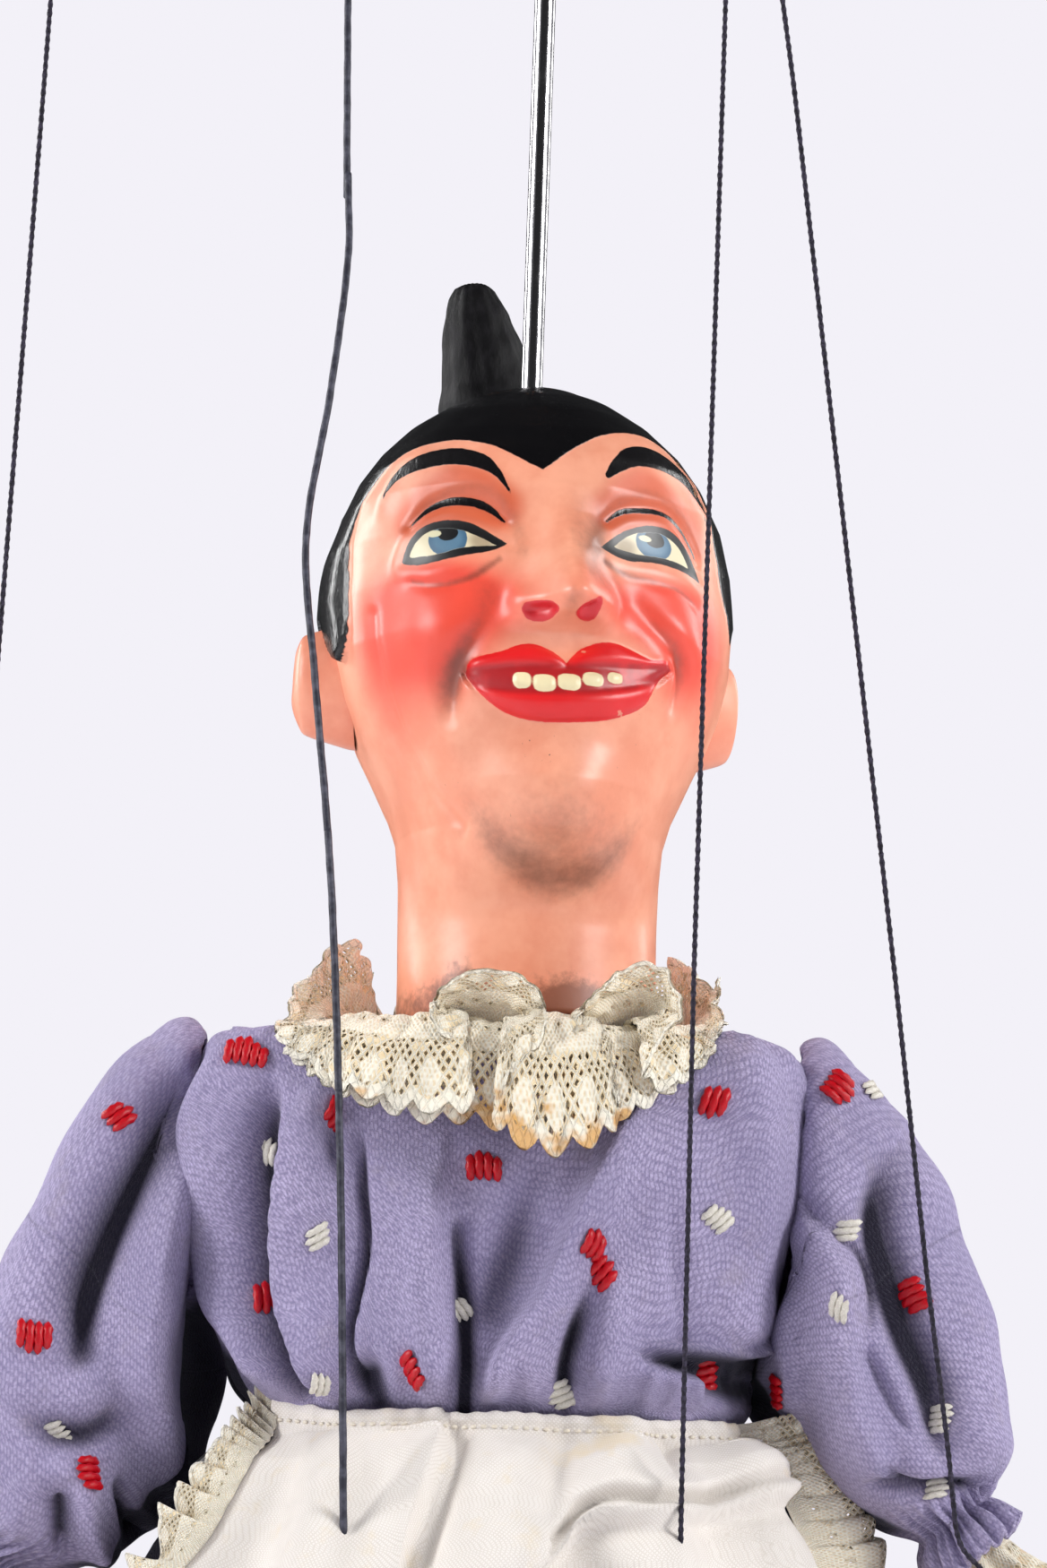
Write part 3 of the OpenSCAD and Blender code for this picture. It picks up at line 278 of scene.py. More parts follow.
def thicken(obj, thickness):
    """Gives a sheet its thickness, inwards, as part of its mesh."""
    wall = obj.modifiers.new("wall", "SOLIDIFY")
    wall.thickness = thickness * MM
    wall.offset = -1
    wall.use_even_offset = False
    seen = obj.evaluated_get(bpy.context.evaluated_depsgraph_get())
    done = bpy.data.meshes.new_from_object(seen)
    obj.modifiers.clear()
    obj.data = done
    return obj


def sheet_piece(name, points, material, thickness, closed=False, uv=None, deep=None):
    """A sheet of cloth over rows of points, with uv in millimetres. deep is the painted shade, 1 down in a
    fold.
    """
    rows, columns = points.shape[:2]
    if uv is None:
        wide = distance_along(points, 1)
        uv = np.stack([wide - wide.mean(axis=1, keepdims=True), -distance_along(points, 0)], -1)
    values = None if deep is None else {"deep": deep}
    obj = piece(name, points, grid_faces(rows, columns, closed), material, uv, values)
    if closed:
        layer = obj.data.uv_layers["cloth"].data
        for i in range(rows - 1):
            first = obj.data.polygons[i * columns + columns - 1].loop_start
            for corner, row in ((2, i + 1), (3, i)):
                step = float(np.linalg.norm(points[row, 0] - points[row, -1]))
                layer[first + corner].uv = (float(uv[row, -1, 0]) + step, float(uv[row, -1, 1]))
    return thicken(obj, thickness)


def normals_of(points, closed):
    """Outward normals, where rows run down and columns run to the left of the outside."""
    if closed:
        du = np.roll(points, -1, axis=1) - np.roll(points, 1, axis=1)
    else:
        du = np.gradient(points, axis=1)
    n = np.cross(np.gradient(points, axis=0), du)
    return n / np.maximum(np.linalg.norm(n, axis=2, keepdims=True), 1e-9)


# Shader maths


class Value:
    """A socket on which arithmetic adds Math nodes."""

    def __init__(self, finish, socket):
        self.finish = finish
        self.socket = socket

    def math(self, operation, *others):
        sockets = dict(enumerate((self, *others)))
        return self.finish.node("Math", {"operation": operation}, sockets)

    def __add__(self, other):
        return self.math("ADD", other)

    def __mul__(self, other):
        return self.math("MULTIPLY", other)

    def __sub__(self, other):
        return self.math("SUBTRACT", other)

    def __rsub__(self, other):
        return self * -1.0 + other

    def __abs__(self):
        return self.math("ABSOLUTE")

    __radd__ = __add__
    __rmul__ = __mul__

    def sine(self):
        return self.math("SINE")

    def most(self, other):
        return self.math("MAXIMUM", other)

    def step(self, low, high):
        """0 below low and 1 above high, smooth between them."""
        return self.finish.node("MapRange", {"interpolation_type": "SMOOTHSTEP"},
                                {"Value": self, "From Min": low, "From Max": high})


class Finish:
    """A material as it is built. node() adds any node: its type, its settings, its sockets."""

    def __init__(self, name, holder=None):
        self.material = holder or bpy.data.materials.new(name)
        self.material.use_nodes = True
        self.tree = self.material.node_tree
        self.tree.nodes.clear()
        self.at = None

    def node(self, kind, settings=None, sockets=None, out=0):
        full = kind.startswith(("Geometry", "Function"))
        n = self.tree.nodes.new(kind if full else "ShaderNode" + kind)
        for key, value in (settings or {}).items():
            setattr(n, key, value)
        for key, value in (sockets or {}).items():
            if isinstance(value, Value):
                self.tree.links.new(value.socket, n.inputs[key])
            elif isinstance(value, tuple) and n.inputs[key].type == "RGBA":
                n.inputs[key].default_value = (*value, 1)
            else:
                n.inputs[key].default_value = value
        return Value(self, n.outputs[out])

    def place(self):
        """Object coordinates in millimetres."""
        if self.at is None:
            sockets = {0: self.node("TexCoord", out="Object"), "Scale": 1000.0}
            self.at = self.node("VectorMath", {"operation": "SCALE"}, sockets)
        return self.at

    def uv(self):
        return self.node("UVMap", {"uv_map": "cloth"})

    def split(self, vector):
        return [self.node("SeparateXYZ", None, {0: vector}, out=i) for i in range(3)]

    def attribute(self, name):
        return self.node("Attribute", {"attribute_name": name}, out="Fac")

    def noise(self, size, detail=3.0, rough=0.5, stretch=None):
        where = self.place()
        if stretch:
            where = self.node("VectorMath", {"operation": "MULTIPLY"}, {0: where, 1: stretch})
        return self.node("TexNoise", None, {"Vector": where, "Scale": 1.0 / size, "Detail": detail,
                                            "Roughness": rough})

    def mix(self, a, b, share):
        return self.node("Mix", {"data_type": "RGBA"}, {0: share, 6: a, 7: b}, out=2)

    def bump(self, height, depth, under=None):
        """A Bump node: height 1 stands depth millimetres proud."""
        sockets = {"Height": height, "Distance": depth * MM, "Strength": 1.0}
        return self.node("Bump", None, sockets | ({"Normal": under} if under else {}))

    def end(self, kind, last):
        """Joins the last shader to the output of that kind."""
        out = self.tree.nodes.new("ShaderNodeOutput" + kind)
        self.tree.links.new(last.socket, out.inputs[0])
        return self.material

    def surface(self, glow=None, **sockets):
        """The principled shader; a floor's glow is the colour that the camera mostly sees on it."""
        sockets = {key.replace("_", " "): value for key, value in sockets.items()}
        last = self.node("BsdfPrincipled", None, sockets)
        if glow:
            seen = self.node("LightPath", out="Is Camera Ray") * 0.86
            emission = self.node("Emission", None, {"Color": glow})
            last = self.node("MixShader", None, {0: seen, 1: last, 2: emission})
        return self.end("Material", last)


def srgb(r, g, b):
    """A colour read off a screen, 0 to 255, as the renderer wants it."""
    parts = [v / 255 for v in (r, g, b)]
    return tuple(v / 12.92 if v < 0.0408 else ((v + 0.055) / 1.055) ** 2.4 for v in parts)


# Materials


def painted_head():
    """Gloss paint: skin, blush, hair, brows, eyes, lips and teeth, by how deep a place lies in each."""
    f = Finish("painted_head")
    edge = (f.noise(0.9, 3.0) - 0.5) * 0.22
    blot = f.noise(9.0, 4.0, 0.6)
    fine = f.noise(1.3, 4.0, 0.6)
    speck = f.noise(0.55, 2.0).step(0.70, 0.78) * f.noise(6.0).step(0.5, 0.62)
    skin = f.mix(srgb(242, 166, 134), srgb(230, 144, 112), blot.step(0.3, 0.7))
    # Blush, taken away at two spots on the cheeks as painted highlights.
    skin = f.mix(skin, srgb(238, 62, 40), f.attribute("blush").step(0.05, 0.95) * 0.92)
    skin = f.mix(skin, srgb(208, 88, 48), f.attribute("lid") * 0.9)
    worn = (f.attribute("worn") + (fine - 0.5) * 0.7).step(0.32, 0.75)
    skin = f.mix(skin, srgb(120, 62, 38), worn * 0.85)
    # Brown in the creases and round the eyes, with painted shade round the nose and under the chin.
    skin = f.mix(skin, srgb(96, 52, 36), (f.attribute("umber") + (fine - 0.5) * 0.35).step(0.1, 0.95) * 0.82)
    skin = f.mix(skin, srgb(92, 58, 44), speck * f.attribute("dirt"))
    colour = skin
    lips = f.mix(srgb(222, 3, 9), srgb(172, 4, 14), f.attribute("mouth").step(0.2, 1.0))
    lips = f.mix(lips, srgb(228, 18, 24), f.noise(3.0).step(0.5, 0.8) * 0.5)
    chip = (f.noise(1.6, 3.0) + f.attribute("chip") * 0.42).step(0.86, 0.88)
    lips = f.mix(lips, srgb(226, 134, 108), chip)
    layers = [("lips", lips), ("nostril", srgb(206, 22, 34)), ("teeth", srgb(236, 222, 176)),
              ("eye", srgb(14, 13, 16)), ("white", srgb(226, 214, 178)), ("iris", srgb(88, 124, 148)),
              ("pupil", srgb(10, 10, 13)), ("catch", srgb(222, 216, 178)), ("brow", srgb(15, 13, 15)),
              ("hair", srgb(9, 8, 10))]
    dark = 0.0
    for name, paint in layers:
        mask = (f.attribute(name) + edge).step(-0.07, 0.07)
        if name == "white":
            paint = f.mix(paint, srgb(150, 128, 100), f.attribute("eye_shade").step(0.1, 0.9) * 0.75)
            mask = mask * f.attribute("eye").step(0.0, 0.1)
        if name in ("iris", "pupil", "catch"):
            mask = mask * (f.attribute("white") + edge).step(-0.07, 0.07)
        if name == "iris":
            paint = f.mix(paint, srgb(52, 92, 122), (1.0 - f.attribute("iris").step(0.1, 1.1)) * 0.7)
        colour = f.mix(colour, paint, mask)
        if name in ("hair", "brow"):
            dark = mask + dark
    bare = (f.noise(1.1, 2.0) + f.attribute("hair_worn") * 0.5).step(0.92, 0.94)
    colour = f.mix(colour, srgb(128, 84, 52), bare)
    height = f.noise(0.7, 3.0) * 0.4 + f.noise(3.2, 2.0) * 0.6
    hair_height = f.noise(0.8, 3.0, 0.6, (1.0, 1.0, 0.35)) * dark
    bump = f.bump(hair_height, 0.09, f.bump(height, 0.05))
    rough = 0.4 + fine * 0.16 + dark * -0.24 + speck * 0.2
    coat = (1.0 - dark * 0.9) * 0.5
    return f.surface(Base_Color=colour, Roughness=rough, Normal=bump, Coat_Weight=coat, Coat_Roughness=0.3,
                     Specular_IOR_Level=0.45)


def matt_hair():
    """Rubbed black paint with brush marks and a little bare wood."""
    f = Finish("matt_hair")
    marks = f.noise(1.1, 4.0, 0.65, (1.0, 1.0, 0.4))
    bare = f.noise(1.0, 3.0).step(0.74, 0.77)
    _, _, z = f.split(f.place())
    colour = f.mix(srgb(8, 7, 9), srgb(24, 22, 26), marks.step(0.4, 0.75))
    colour = f.mix(colour, srgb(120, 84, 54), bare * (1.0 - z.step(-310.0, -306.0)))
    return f.surface(Base_Color=colour, Roughness=0.5 + marks * 0.2, Normal=f.bump(marks, 0.16),
                     Specular_IOR_Level=0.22)


def twill():
    """Lavender twill: steep ribs of short pale floats over a darker ground, with a soft nap."""
    f = Finish("twill")
    u, v, _ = f.split(f.uv())
    drift = (f.noise(9.0, 2.0) - 0.5) * 0.5
    across = (u * 0.94 + v * 0.34) * (1 / 0.54) + drift
    rib = across.math("FRACT")
    step = across.math("FLOOR")
    loose = (f.node("TexWhiteNoise", {"noise_dimensions": "1D"}, {"W": step}) - 0.5) * 0.3
    float_ = ((v * 0.94 - u * 0.34) * (1 / 1.35) + drift * 0.6 + step * 0.36 + loose).math("FRACT")
    ends = float_.step(0.0, 0.24) * (1.0 - float_.step(0.62, 0.94))
    bead = (rib * math.pi).sine().step(0.05, 0.95) * ends
    fuzz = f.noise(0.28, 4.0, 0.75)
    coarse = f.noise(1.1, 3.0, 0.6)
    height = bead * 0.45 + (fuzz - 0.5) * 1.9 + (coarse - 0.5) * 0.8
    soft = f.noise(18.0, 3.0)
    colour = f.mix(srgb(136, 127, 166), srgb(230, 217, 249), height.step(-0.5, 1.35))
    colour = f.mix(colour, srgb(140, 132, 170), soft.step(0.35, 0.7) * 0.35)
    worn = f.noise(7.0, 4.0, 0.65).step(0.55, 0.8)
    colour = f.mix(colour, srgb(168, 156, 168), worn * 0.4)
    # Painted shade: near black down in the folds and in the gaps beside them.
    colour = f.mix(colour, srgb(14, 11, 26), f.attribute("deep").step(0.0, 0.9) * 0.97)
    return f.surface(Base_Color=colour, Roughness=0.95, Normal=f.bump(height, 0.15), Sheen_Weight=0.25,
                     Sheen_Roughness=0.5, Sheen_Tint=(0.75, 0.74, 0.9), Specular_IOR_Level=0.1)


def linen():
    """Off-white plain weave, with faint stains."""
    f = Finish("linen")
    pitch = 0.3
    u, v, _ = f.split(f.uv())
    a = (u * (math.pi / pitch) + (f.noise(5.0) - 0.5) * 1.5).sine()
    b = (v * (math.pi / pitch) + (f.noise(6.0) - 0.5) * 1.5).sine()
    slub = f.noise(2.4, 3.0, 0.6, (1.0, 1.0, 0.25))
    height = abs(a).most(abs(b)) * 0.6 + (a * b).step(-0.25, 0.25) * 0.4 + slub * 0.35
    colour = f.mix(srgb(212, 203, 193), srgb(236, 230, 224), height.step(0.35, 1.15))
    colour = f.mix(colour, srgb(226, 200, 142), f.noise(11.0, 4.0, 0.62).step(0.56, 0.74) * 0.4)
    # Painted shade down in the apron's folds.
    colour = f.mix(colour, srgb(96, 84, 72), f.attribute("deep") * 0.55)
    return f.surface(Base_Color=colour, Roughness=0.88, Normal=f.bump(height, pitch * 0.14),
                     Sheen_Weight=0.15, Specular_IOR_Level=0.25)


def open_lace():
    """Cotton lace with its outer edge at v = 0: scallops and net, with fans and a dense band."""
    f = Finish("open_lace")
    u, v, _ = f.split(f.uv())
    wobble = (f.noise(1.6, 2.0) - 0.5) * 1.3
    one = abs(((u + v) * (math.pi / 1.15) + wobble).sine())
    two = abs(((u - v) * (math.pi / 1.15) - wobble).sine())
    net = 1.0 - one.math("MINIMUM", two).step(0.64, 0.76) * f.noise(2.2, 2.0).step(0.36, 0.5)
    bow = abs((u * (math.pi / 4.2)).sine())
    fan = bow * 3.2 - abs(v - 2.4) * 1.3 - 1.5
    eyelet = (1.0 - abs(v - 8.6).step(0.35, 0.6)) * (u * (math.pi / 1.3)).sine().step(0.1, 0.4)
    solid = fan.most(v - 5.6).step(-0.15, 0.15) * (1.0 - eyelet * v.step(7.0, 7.6))
    rim = v - (1.0 - bow) * 0.8
    edge = 1.0 - abs(rim - 0.45).step(0.35, 0.55)
    cover = net.most(solid).most(edge) * rim.step(-0.05, 0.1)
    cord = (1.0 - one.step(0.0, 0.45)).most(1.0 - two.step(0.0, 0.45))
    threads = (u * (math.pi / 0.34)).sine() * (v * (math.pi / 0.42)).sine() * 0.5 + 0.5
    height = (cord * (1.0 - solid) + threads * solid + edge * 0.6
              + (f.noise(0.45, 3.0, 0.6) - 0.35) * 0.9)
    colour = f.mix(srgb(240, 214, 170), srgb(255, 246, 224), height.step(0.0, 0.75))
    fall = f.split(f.place())[2] * -1.0
    low = fall.step(409.0, 419.0) * (1.0 - fall.step(424.0, 430.0))
    stain = (f.noise(5.5, 3.0, 0.6) + low * 0.26 - 0.06).step(0.58, 0.74) * 0.8
    colour = f.mix(colour, srgb(218, 150, 52), stain)
    return f.surface(
        Base_Color=colour, Roughness=0.8, Normal=f.bump(height, 0.18), Alpha=cover.step(0.3, 0.6),
        Sheen_Weight=0.15, Specular_IOR_Level=0.25, Subsurface_Weight=0.35, Subsurface_Scale=0.002,
        Subsurface_Radius=[1.0, 1.0, 1.0])


def thread(name, colour, light, rough=0.6, lay=0.5):
    """Twisted thread seen from near by."""
    f = Finish(name)
    strand = f.noise(lay, 3.0, 0.6)
    tint = f.mix(colour, light, strand.step(0.35, 0.75))
    return f.surface(Base_Color=tint, Roughness=rough, Normal=f.bump(strand, 0.08),
                     Specular_IOR_Level=0.25)


def satin(name, colour, light):
    """Embroidery cotton, with fine fibres and a soft gloss."""
    f = Finish(name)
    fibre = f.noise(0.22, 3.0, 0.6)
    tone = f.mix(colour, light, fibre.step(0.4, 0.8) * 0.6)
    return f.surface(Base_Color=tone, Roughness=0.34, Normal=f.bump(fibre, 0.05), Specular_IOR_Level=0.4)


def wood(name, light, deep, gloss=0.4):
    """Turned or carved wood with grain along Z and a worn finish."""
    f = Finish(name)
    grain = f.noise(2.2, 5.0, 0.65, (1.0, 1.0, 0.09))
    band = f.noise(9.0, 3.0, 0.5, (1.0, 1.0, 0.16))
    wear = f.noise(14.0, 3.0).step(0.52, 0.75)
    colour = f.mix(deep, light, (grain * 0.6 + band * 0.5).step(0.3, 0.75))
    colour = f.mix(colour, tuple(min(1.0, c * 1.35) for c in light), wear * 0.35)
    return f.surface(Base_Color=colour, Roughness=gloss + wear * 0.18, Normal=f.bump(grain, 0.12),
                     Coat_Weight=0.15)


def metal(name, colour, rough, brushed=0.0, stretch=(1.0, 1.0, 0.04)):
    """Bare metal with fine draw marks along Z and a few dull spots."""
    f = Finish(name)
    draw = f.noise(0.16, 3.0, 0.6, stretch)
    dull = f.noise(7.0, 4.0, 0.6).step(0.55, 0.75)
    tone = f.mix(colour, tuple(c * 0.55 for c in colour), dull * 0.35)
    return f.surface(Base_Color=tone, Metallic=1.0, Roughness=rough + draw * brushed + dull * 0.12,
                     Normal=f.bump(draw, 0.01 + brushed * 0.04))


def paint(name, colour, worn, rough=0.3):
    """Painted wood, rubbed at places."""
    f = Finish(name)
    mottle = f.noise(5.0, 4.0, 0.6)
    rub = f.noise(3.0, 5.0, 0.65).step(0.66, 0.72)
    tone = f.mix(colour, tuple(c * 0.8 for c in colour), mottle.step(0.4, 0.7))
    tone = f.mix(tone, worn, rub * 0.6)
    return f.surface(Base_Color=tone, Roughness=rough + rub * 0.3, Normal=f.bump(mottle, 0.06),
                     Coat_Weight=0.4, Coat_Roughness=0.15)


HEAD_PAINT = painted_head()
MATT_HAIR = matt_hair()
TWILL = twill()
LINEN = linen()
LACE_EDGE = open_lace()
BLACK_THREAD = thread("black_thread", srgb(20, 17, 26), srgb(62, 56, 74), 0.7)
WAXED_CORD = thread("waxed_cord", srgb(44, 44, 54), srgb(84, 84, 96), 0.5, 1.4)
RED_COTTON = satin("red_cotton", srgb(180, 2, 20), srgb(222, 16, 36))
WHITE_COTTON = satin("white_cotton", srgb(206, 200, 188), srgb(250, 247, 238))
SEWING_COTTON = satin("sewing_cotton", srgb(226, 216, 198), srgb(250, 246, 236))
DARK_WOOD = wood("dark_wood", srgb(126, 82, 50), srgb(70, 40, 22), 0.32)
PALE_WOOD = wood("pale_wood", srgb(214, 172, 122), srgb(168, 122, 78), 0.5)
BAR_WOOD = wood("bar_wood", srgb(178, 128, 82), srgb(122, 80, 46), 0.4)
POLISHED = metal("polished_steel", srgb(188, 186, 188), 0.10, 0.05)
STEEL = metal("steel_wire", srgb(176, 178, 182), 0.24, 0.1, (1.0, 1.0, 1.0))
BRASS = metal("brass", srgb(206, 168, 88), 0.26, 0.1, (1.0, 1.0, 1.0))
HAND_PAINT = paint("hand_paint", srgb(248, 176, 140), srgb(170, 112, 80))
STOCKING_PAINT = paint("stocking_paint", srgb(232, 224, 206), srgb(186, 160, 124))
SHOE_PAINT = paint("shoe_paint", srgb(18, 16, 18), srgb(96, 70, 50), 0.2)

NODE_FINISHES = [
    (STEEL, "hand_lever lever_pin lever_stop neck_link body_eye hip_pin shoulder_pin elbow_pin knee_pin"),
    (PALE_WOOD, "torso upper_arm forearm thigh"), (BRASS, "leg_bar_screw hand_eye knee_eye"),
    (DARK_WOOD, "grip"), (BAR_WOOD, "leg_bar"), (POLISHED, "head_rod"), (HAND_PAINT, "hand"),
    (STOCKING_PAINT, "shin"), (SHOE_PAINT, "shoe")]


def finish_nodes():
    finishes = {name: finish for finish, names in NODE_FINISHES for name in names.split()}
    for name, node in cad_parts.items():
        finish = finishes.get(name) or finishes.get(name[:-2])
        if finish:
            node.data.materials.clear()
            node.data.materials.append(finish)


# Head, in its own frame: the crown is the origin, the face looks along -Y, z runs down

SIDE_W = [
    (-90, NECK_R), (-70, NECK_R), (-65, 18.1), (-61, 19.3), (-57, 21.2), (-52, 23.6), (-46, 26.0),
    (-40, 27.5), (-33, 28.1), (-26, 27.6), (-20, 26.2), (-15, 24.0), (-11, 21.2), (-7, 17.2), (-4, 12.6),
    (-2, 8.2), (-0.6, 3.8), (0, 0)]
FRONT_D = [
    (-90, NECK_R), (-76, NECK_R), (-73, 19.6), (-70, 22.2), (-66, 24.6), (-60, 26.6), (-54, 27.2),
    (-48, 27.6), (-40, 27.8), (-30, 27.8), (-20, 27.2), (-15, 25.6), (-11, 23.2), (-7, 19.4), (-4, 15.2),
    (-2, 11), (-0.6, 6), (0, 0)]
REAR_D = [
    (-90, NECK_R), (-76, NECK_R), (-70, 19), (-64, 21.4), (-56, 24.6), (-48, 27.4), (-40, 29.2), (-30, 30),
    (-22, 29), (-15, 26.2), (-11, 23.6), (-7, 19.6), (-4, 15.2), (-2, 11), (-0.6, 6), (0, 0)]
ARC_R = 28.0

# Painted outlines, as (distance round the head from the middle of the face, z)
HAIR = [
    (-38.2, -41.6, "corner"), (-35.6, -39), (-34.6, -33), (-35.5, -24), (-34.5, -18.5), (-30, -14.4),
    (-21, -13.3), (-12, -14.5), (-3.5, -18.2, "corner"), (2, -14.2), (8, -11.5), (17, -10.3), (25, -11.7),
    (28.4, -16.5), (27.6, -23), (29, -30), (33.5, -36.5, "corner"), (38, -33), (44, -31.5), (50, -34),
    (55, -40), (58, -50), (64, -60), (76, -65), (95, -66, "corner"), (95, 8, "corner"), (-95, 8, "corner"),
    (-95, -66, "corner"), (-76, -65), (-64, -60), (-58, -50), (-55, -40), (-50, -34), (-45, -34.5),
    (-41.5, -39)]
BROW_R = [
    (-28.7, -20.8, 0.1), (-27.4, -17.9, 0.8), (-24.5, -16.5, 1.25), (-20, -16, 1.25), (-16, -16.2, 1.2),
    (-12.5, -17.2, 1.05), (-10, -19, 0.55), (-7.8, -21.8, 0.08)]
BROW_L = [
    (6.2, -18.3, 0.45), (8.2, -16.5, 1.0), (11, -14.9, 1.35), (14.8, -14.1, 1.6), (19, -14.2, 1.6),
    (22.4, -15.2, 1.4), (24.6, -17.2, 1.0), (26.2, -19.8, 0.25)]
LID_LINE_R = [
    (-22.5, -25.4, 0.2), (-20, -23.2, 0.5), (-16.6, -22.4, 0.6), (-13, -22.8, 0.55), (-10.4, -23.9, 0.4),
    (-8.4, -25.5, 0.12)]
LID_LINE_L = [
    (5.6, -24.7, 0.12), (8, -23, 0.34), (11.5, -22.2, 0.36), (15.5, -22, 0.36), (18.4, -23.2, 0.4),
    (20.3, -25.4, 0.34), (21.5, -27.6, 0.08)]
EYE_R = [
    (-23.4, -30.8, "corner"), (-22.3, -28.3), (-20.2, -26.1), (-16.5, -25.1), (-12.3, -25.8),
    (-7.8, -28.9, "corner"), (-10.5, -30.1), (-15.1, -31), (-20.2, -31.5)]
EYE_L = [
    (4.2, -28.8, "corner"), (7.8, -25.7), (12, -24.1), (16.5, -24.4), (19.8, -27.4),
    (21.5, -30.6, "corner"), (17.3, -29.9), (12.5, -29.8), (8.1, -30)]
WHITE_R = [
    (-22.1, -30.2, "corner"), (-20.9, -28.3), (-18.4, -26.6), (-14.5, -26.6), (-9.3, -29.1, "corner"),
    (-13.6, -29.7), (-18, -30.4)]
WHITE_L = [
    (6.2, -28.3, "corner"), (9.2, -25.8), (13.7, -24.9), (17.1, -26.4), (19, -29.1, "corner"),
    (15.5, -28.8), (9.9, -28.9)]
JAW = [(-25, -57), (-19, -64), (-12, -69), (-4, -72), (2, -72.4), (9, -71), (16, -67), (22, -61)]
FACE_EDGE = [(-29.5, -37), (-29.6, -45), (-29, -53), (-26.5, -60), (-20.5, -66)]
SOCKET_R = [(-24.5, -27), (-21.5, -23.6), (-16, -20.6), (-10.5, -21.6), (-7, -25.5), (-6, -30)]
SOCKET_L = [(3.8, -29), (4.6, -25), (8, -21.4), (14, -19.6), (20, -21.8), (22.6, -26)]
NOSTRIL_R = [(-6.2, -38.3), (-5.3, -37.4), (-3.2, -37.7), (-2.1, -38.9), (-3.4, -39.9), (-5.5, -39.5)]
NOSTRIL_L = [(-0.1, -39.3), (1, -38), (2.9, -37), (2.9, -39.2), (1.4, -39.9)]
LIPS = [
    (-15.8, -46.8, "corner"), (-14, -44.8), (-9.5, -43.7), (-5.6, -42.5), (-2.4, -43.3),
    (-0.2, -44.9, "corner"), (2.1, -42.7), (6.4, -41.5), (12, -43), (15.2, -42.9), (17, -44, "corner"),
    (14.2, -46.4), (12.5, -49.5), (7, -51.9), (0, -52.9), (-6, -52.8), (-10.5, -51.4), (-13.9, -48.6)]
MOUTH_LINE = [(-15, -47, 0.5), (-8, -47.4, 1.3), (0, -47.3, 1.4), (8, -46.2, 1.2), (16, -44.4, 0.4)]
TEETH = [
    (-6.8, -47.7, 1.3, 1.05), (-3.6, -48.0, 1.65, 1.12), (0.0, -47.7, 1.7, 1.1), (3.5, -47.1, 1.55, 0.95),
    (6.9, -46.5, 1.2, 0.75)]
IRISES = [(-16.0, -28.2, 2.85, 2.6), (12.6, -26.8, 3.0, 2.55)]
PUPILS = [(-16.0, -27.1, 1.55, 1.45), (12.7, -26.0, 1.65, 1.4)]
CATCHES = [(-18.0, -27.2, 1.0, 0.62), (11.1, -26.1, 1.0, 0.5)]
SMILE_R = [(-9.6, -36.6), (-12.6, -40.4), (-15.9, -44.6), (-18.0, -48.4), (-18.8, -52.2)]
SMILE_L = [(9.6, -35.4), (13.2, -38.6), (17.4, -41.6), (19.4, -44.8), (19.6, -48.5)]
UNDER_EYE_R = [(-21.8, -33.6), (-18.9, -34.4), (-15.6, -34.2), (-12.4, -33.2), (-9, -31)]
UNDER_EYE_L = [(5, -30.8), (8.4, -32), (12.5, -32.2), (16.8, -32.6), (20.4, -34)]
LIDS = [[(-22, -24, 3.4), (-16, -21.5, 4.4), (-9.5, -23.5, 3.2)],
        [(6.5, -23.5, 3.2), (13.5, -20.5, 4.4), (21, -24, 3.4)]]
JAW_SHADE = [(-24, 0), (-15, 0.7), (-6, 1), (8, 1), (15, 0.6), (22, 0)]
# Soft spots of paint, as (strength, distance round the head, z, half width, half height); in the blush, the
# two negative spots on the cheeks are painted highlights
BLUSH_AND_HIGHLIGHTS = [
    (1.2, -16.5, -36.6, 11, 5), (0.95, -20.5, -42.5, 9.5, 8.5), (1.2, 13, -36.4, 9, 4.4),
    (0.95, 19, -41, 6.5, 8), (0.45, -31, -44, 6, 15), (0.4, 28, -42, 6, 14), (0.3, -25, -22, 6, 7),
    (0.35, 23, -20, 4, 7), (0.25, 3.5, -33, 3, 5), (-0.35, -22, -41.8, 2.4, 2.6),
    (-0.3, 17, -38.6, 2.2, 2.2)]
# Painted shade round the nose, between the brows and under the chin.
UMBER_AND_SHADE = [
    (0.48, 2.6, -31, 2.4, 5), (0.35, -0.8, -38, 1.1, 2), (0.3, -11, -35.5, 3, 3.5),
    (0.32, 6.5, -34.5, 3, 3), (0.34, 1, -66.5, 15, 5), (0.2, 1.5, -25, 4, 7), (0.1, 0, -58, 16, 9)]
# The paint's attributes: depths inside an outline, and shares of a shade
OUTLINED = ("hair", "lips", "teeth", "brow", "eye", "white", "iris", "pupil", "catch", "nostril")
SHADES = ("mouth", "lid", "umber", "worn", "eye_shade", "dirt", "chip", "hair_worn")


def nose_and_cheeks(x, z):
    ridge = along(z, [(-43, 0), (-41, 0.12), (-39, 0.75), (-37, 1), (-34, 0.86), (-29, 0.45), (-24, 0.12),
                      (-19, 0)])
    nose = np.exp(-((x / (3.4 + 1.8 * along(z, [(-40, 1), (-26, 0)]))) ** 2)) * ridge
    return 8.5 * nose + humps(x, z, [
        (2.6, 17, -40, 8, 8), (2.6, -17, -40, 8, 8), (-1.6, 12, -27, 7, 4), (-1.6, -12, -27, 7, 4),
        (1.8, 0, -48.5, 13, 4.6), (2.4, 0, -63, 9, 7)])


def head_form(a, z):
    """The carved head's main form at the angle a from the middle of the face."""
    s, c = np.sin(a), np.cos(a)
    x = along(z, SIDE_W) * s
    depth = np.where(c > 0, along(z, FRONT_D), along(z, REAR_D))
    proud = np.where(c > 0, nose_and_cheeks(x, z) * np.sqrt(np.maximum(c, 0)), 0)
    return np.stack([x - HEAD_LEAN * z, -depth * c - proud, z], -1)


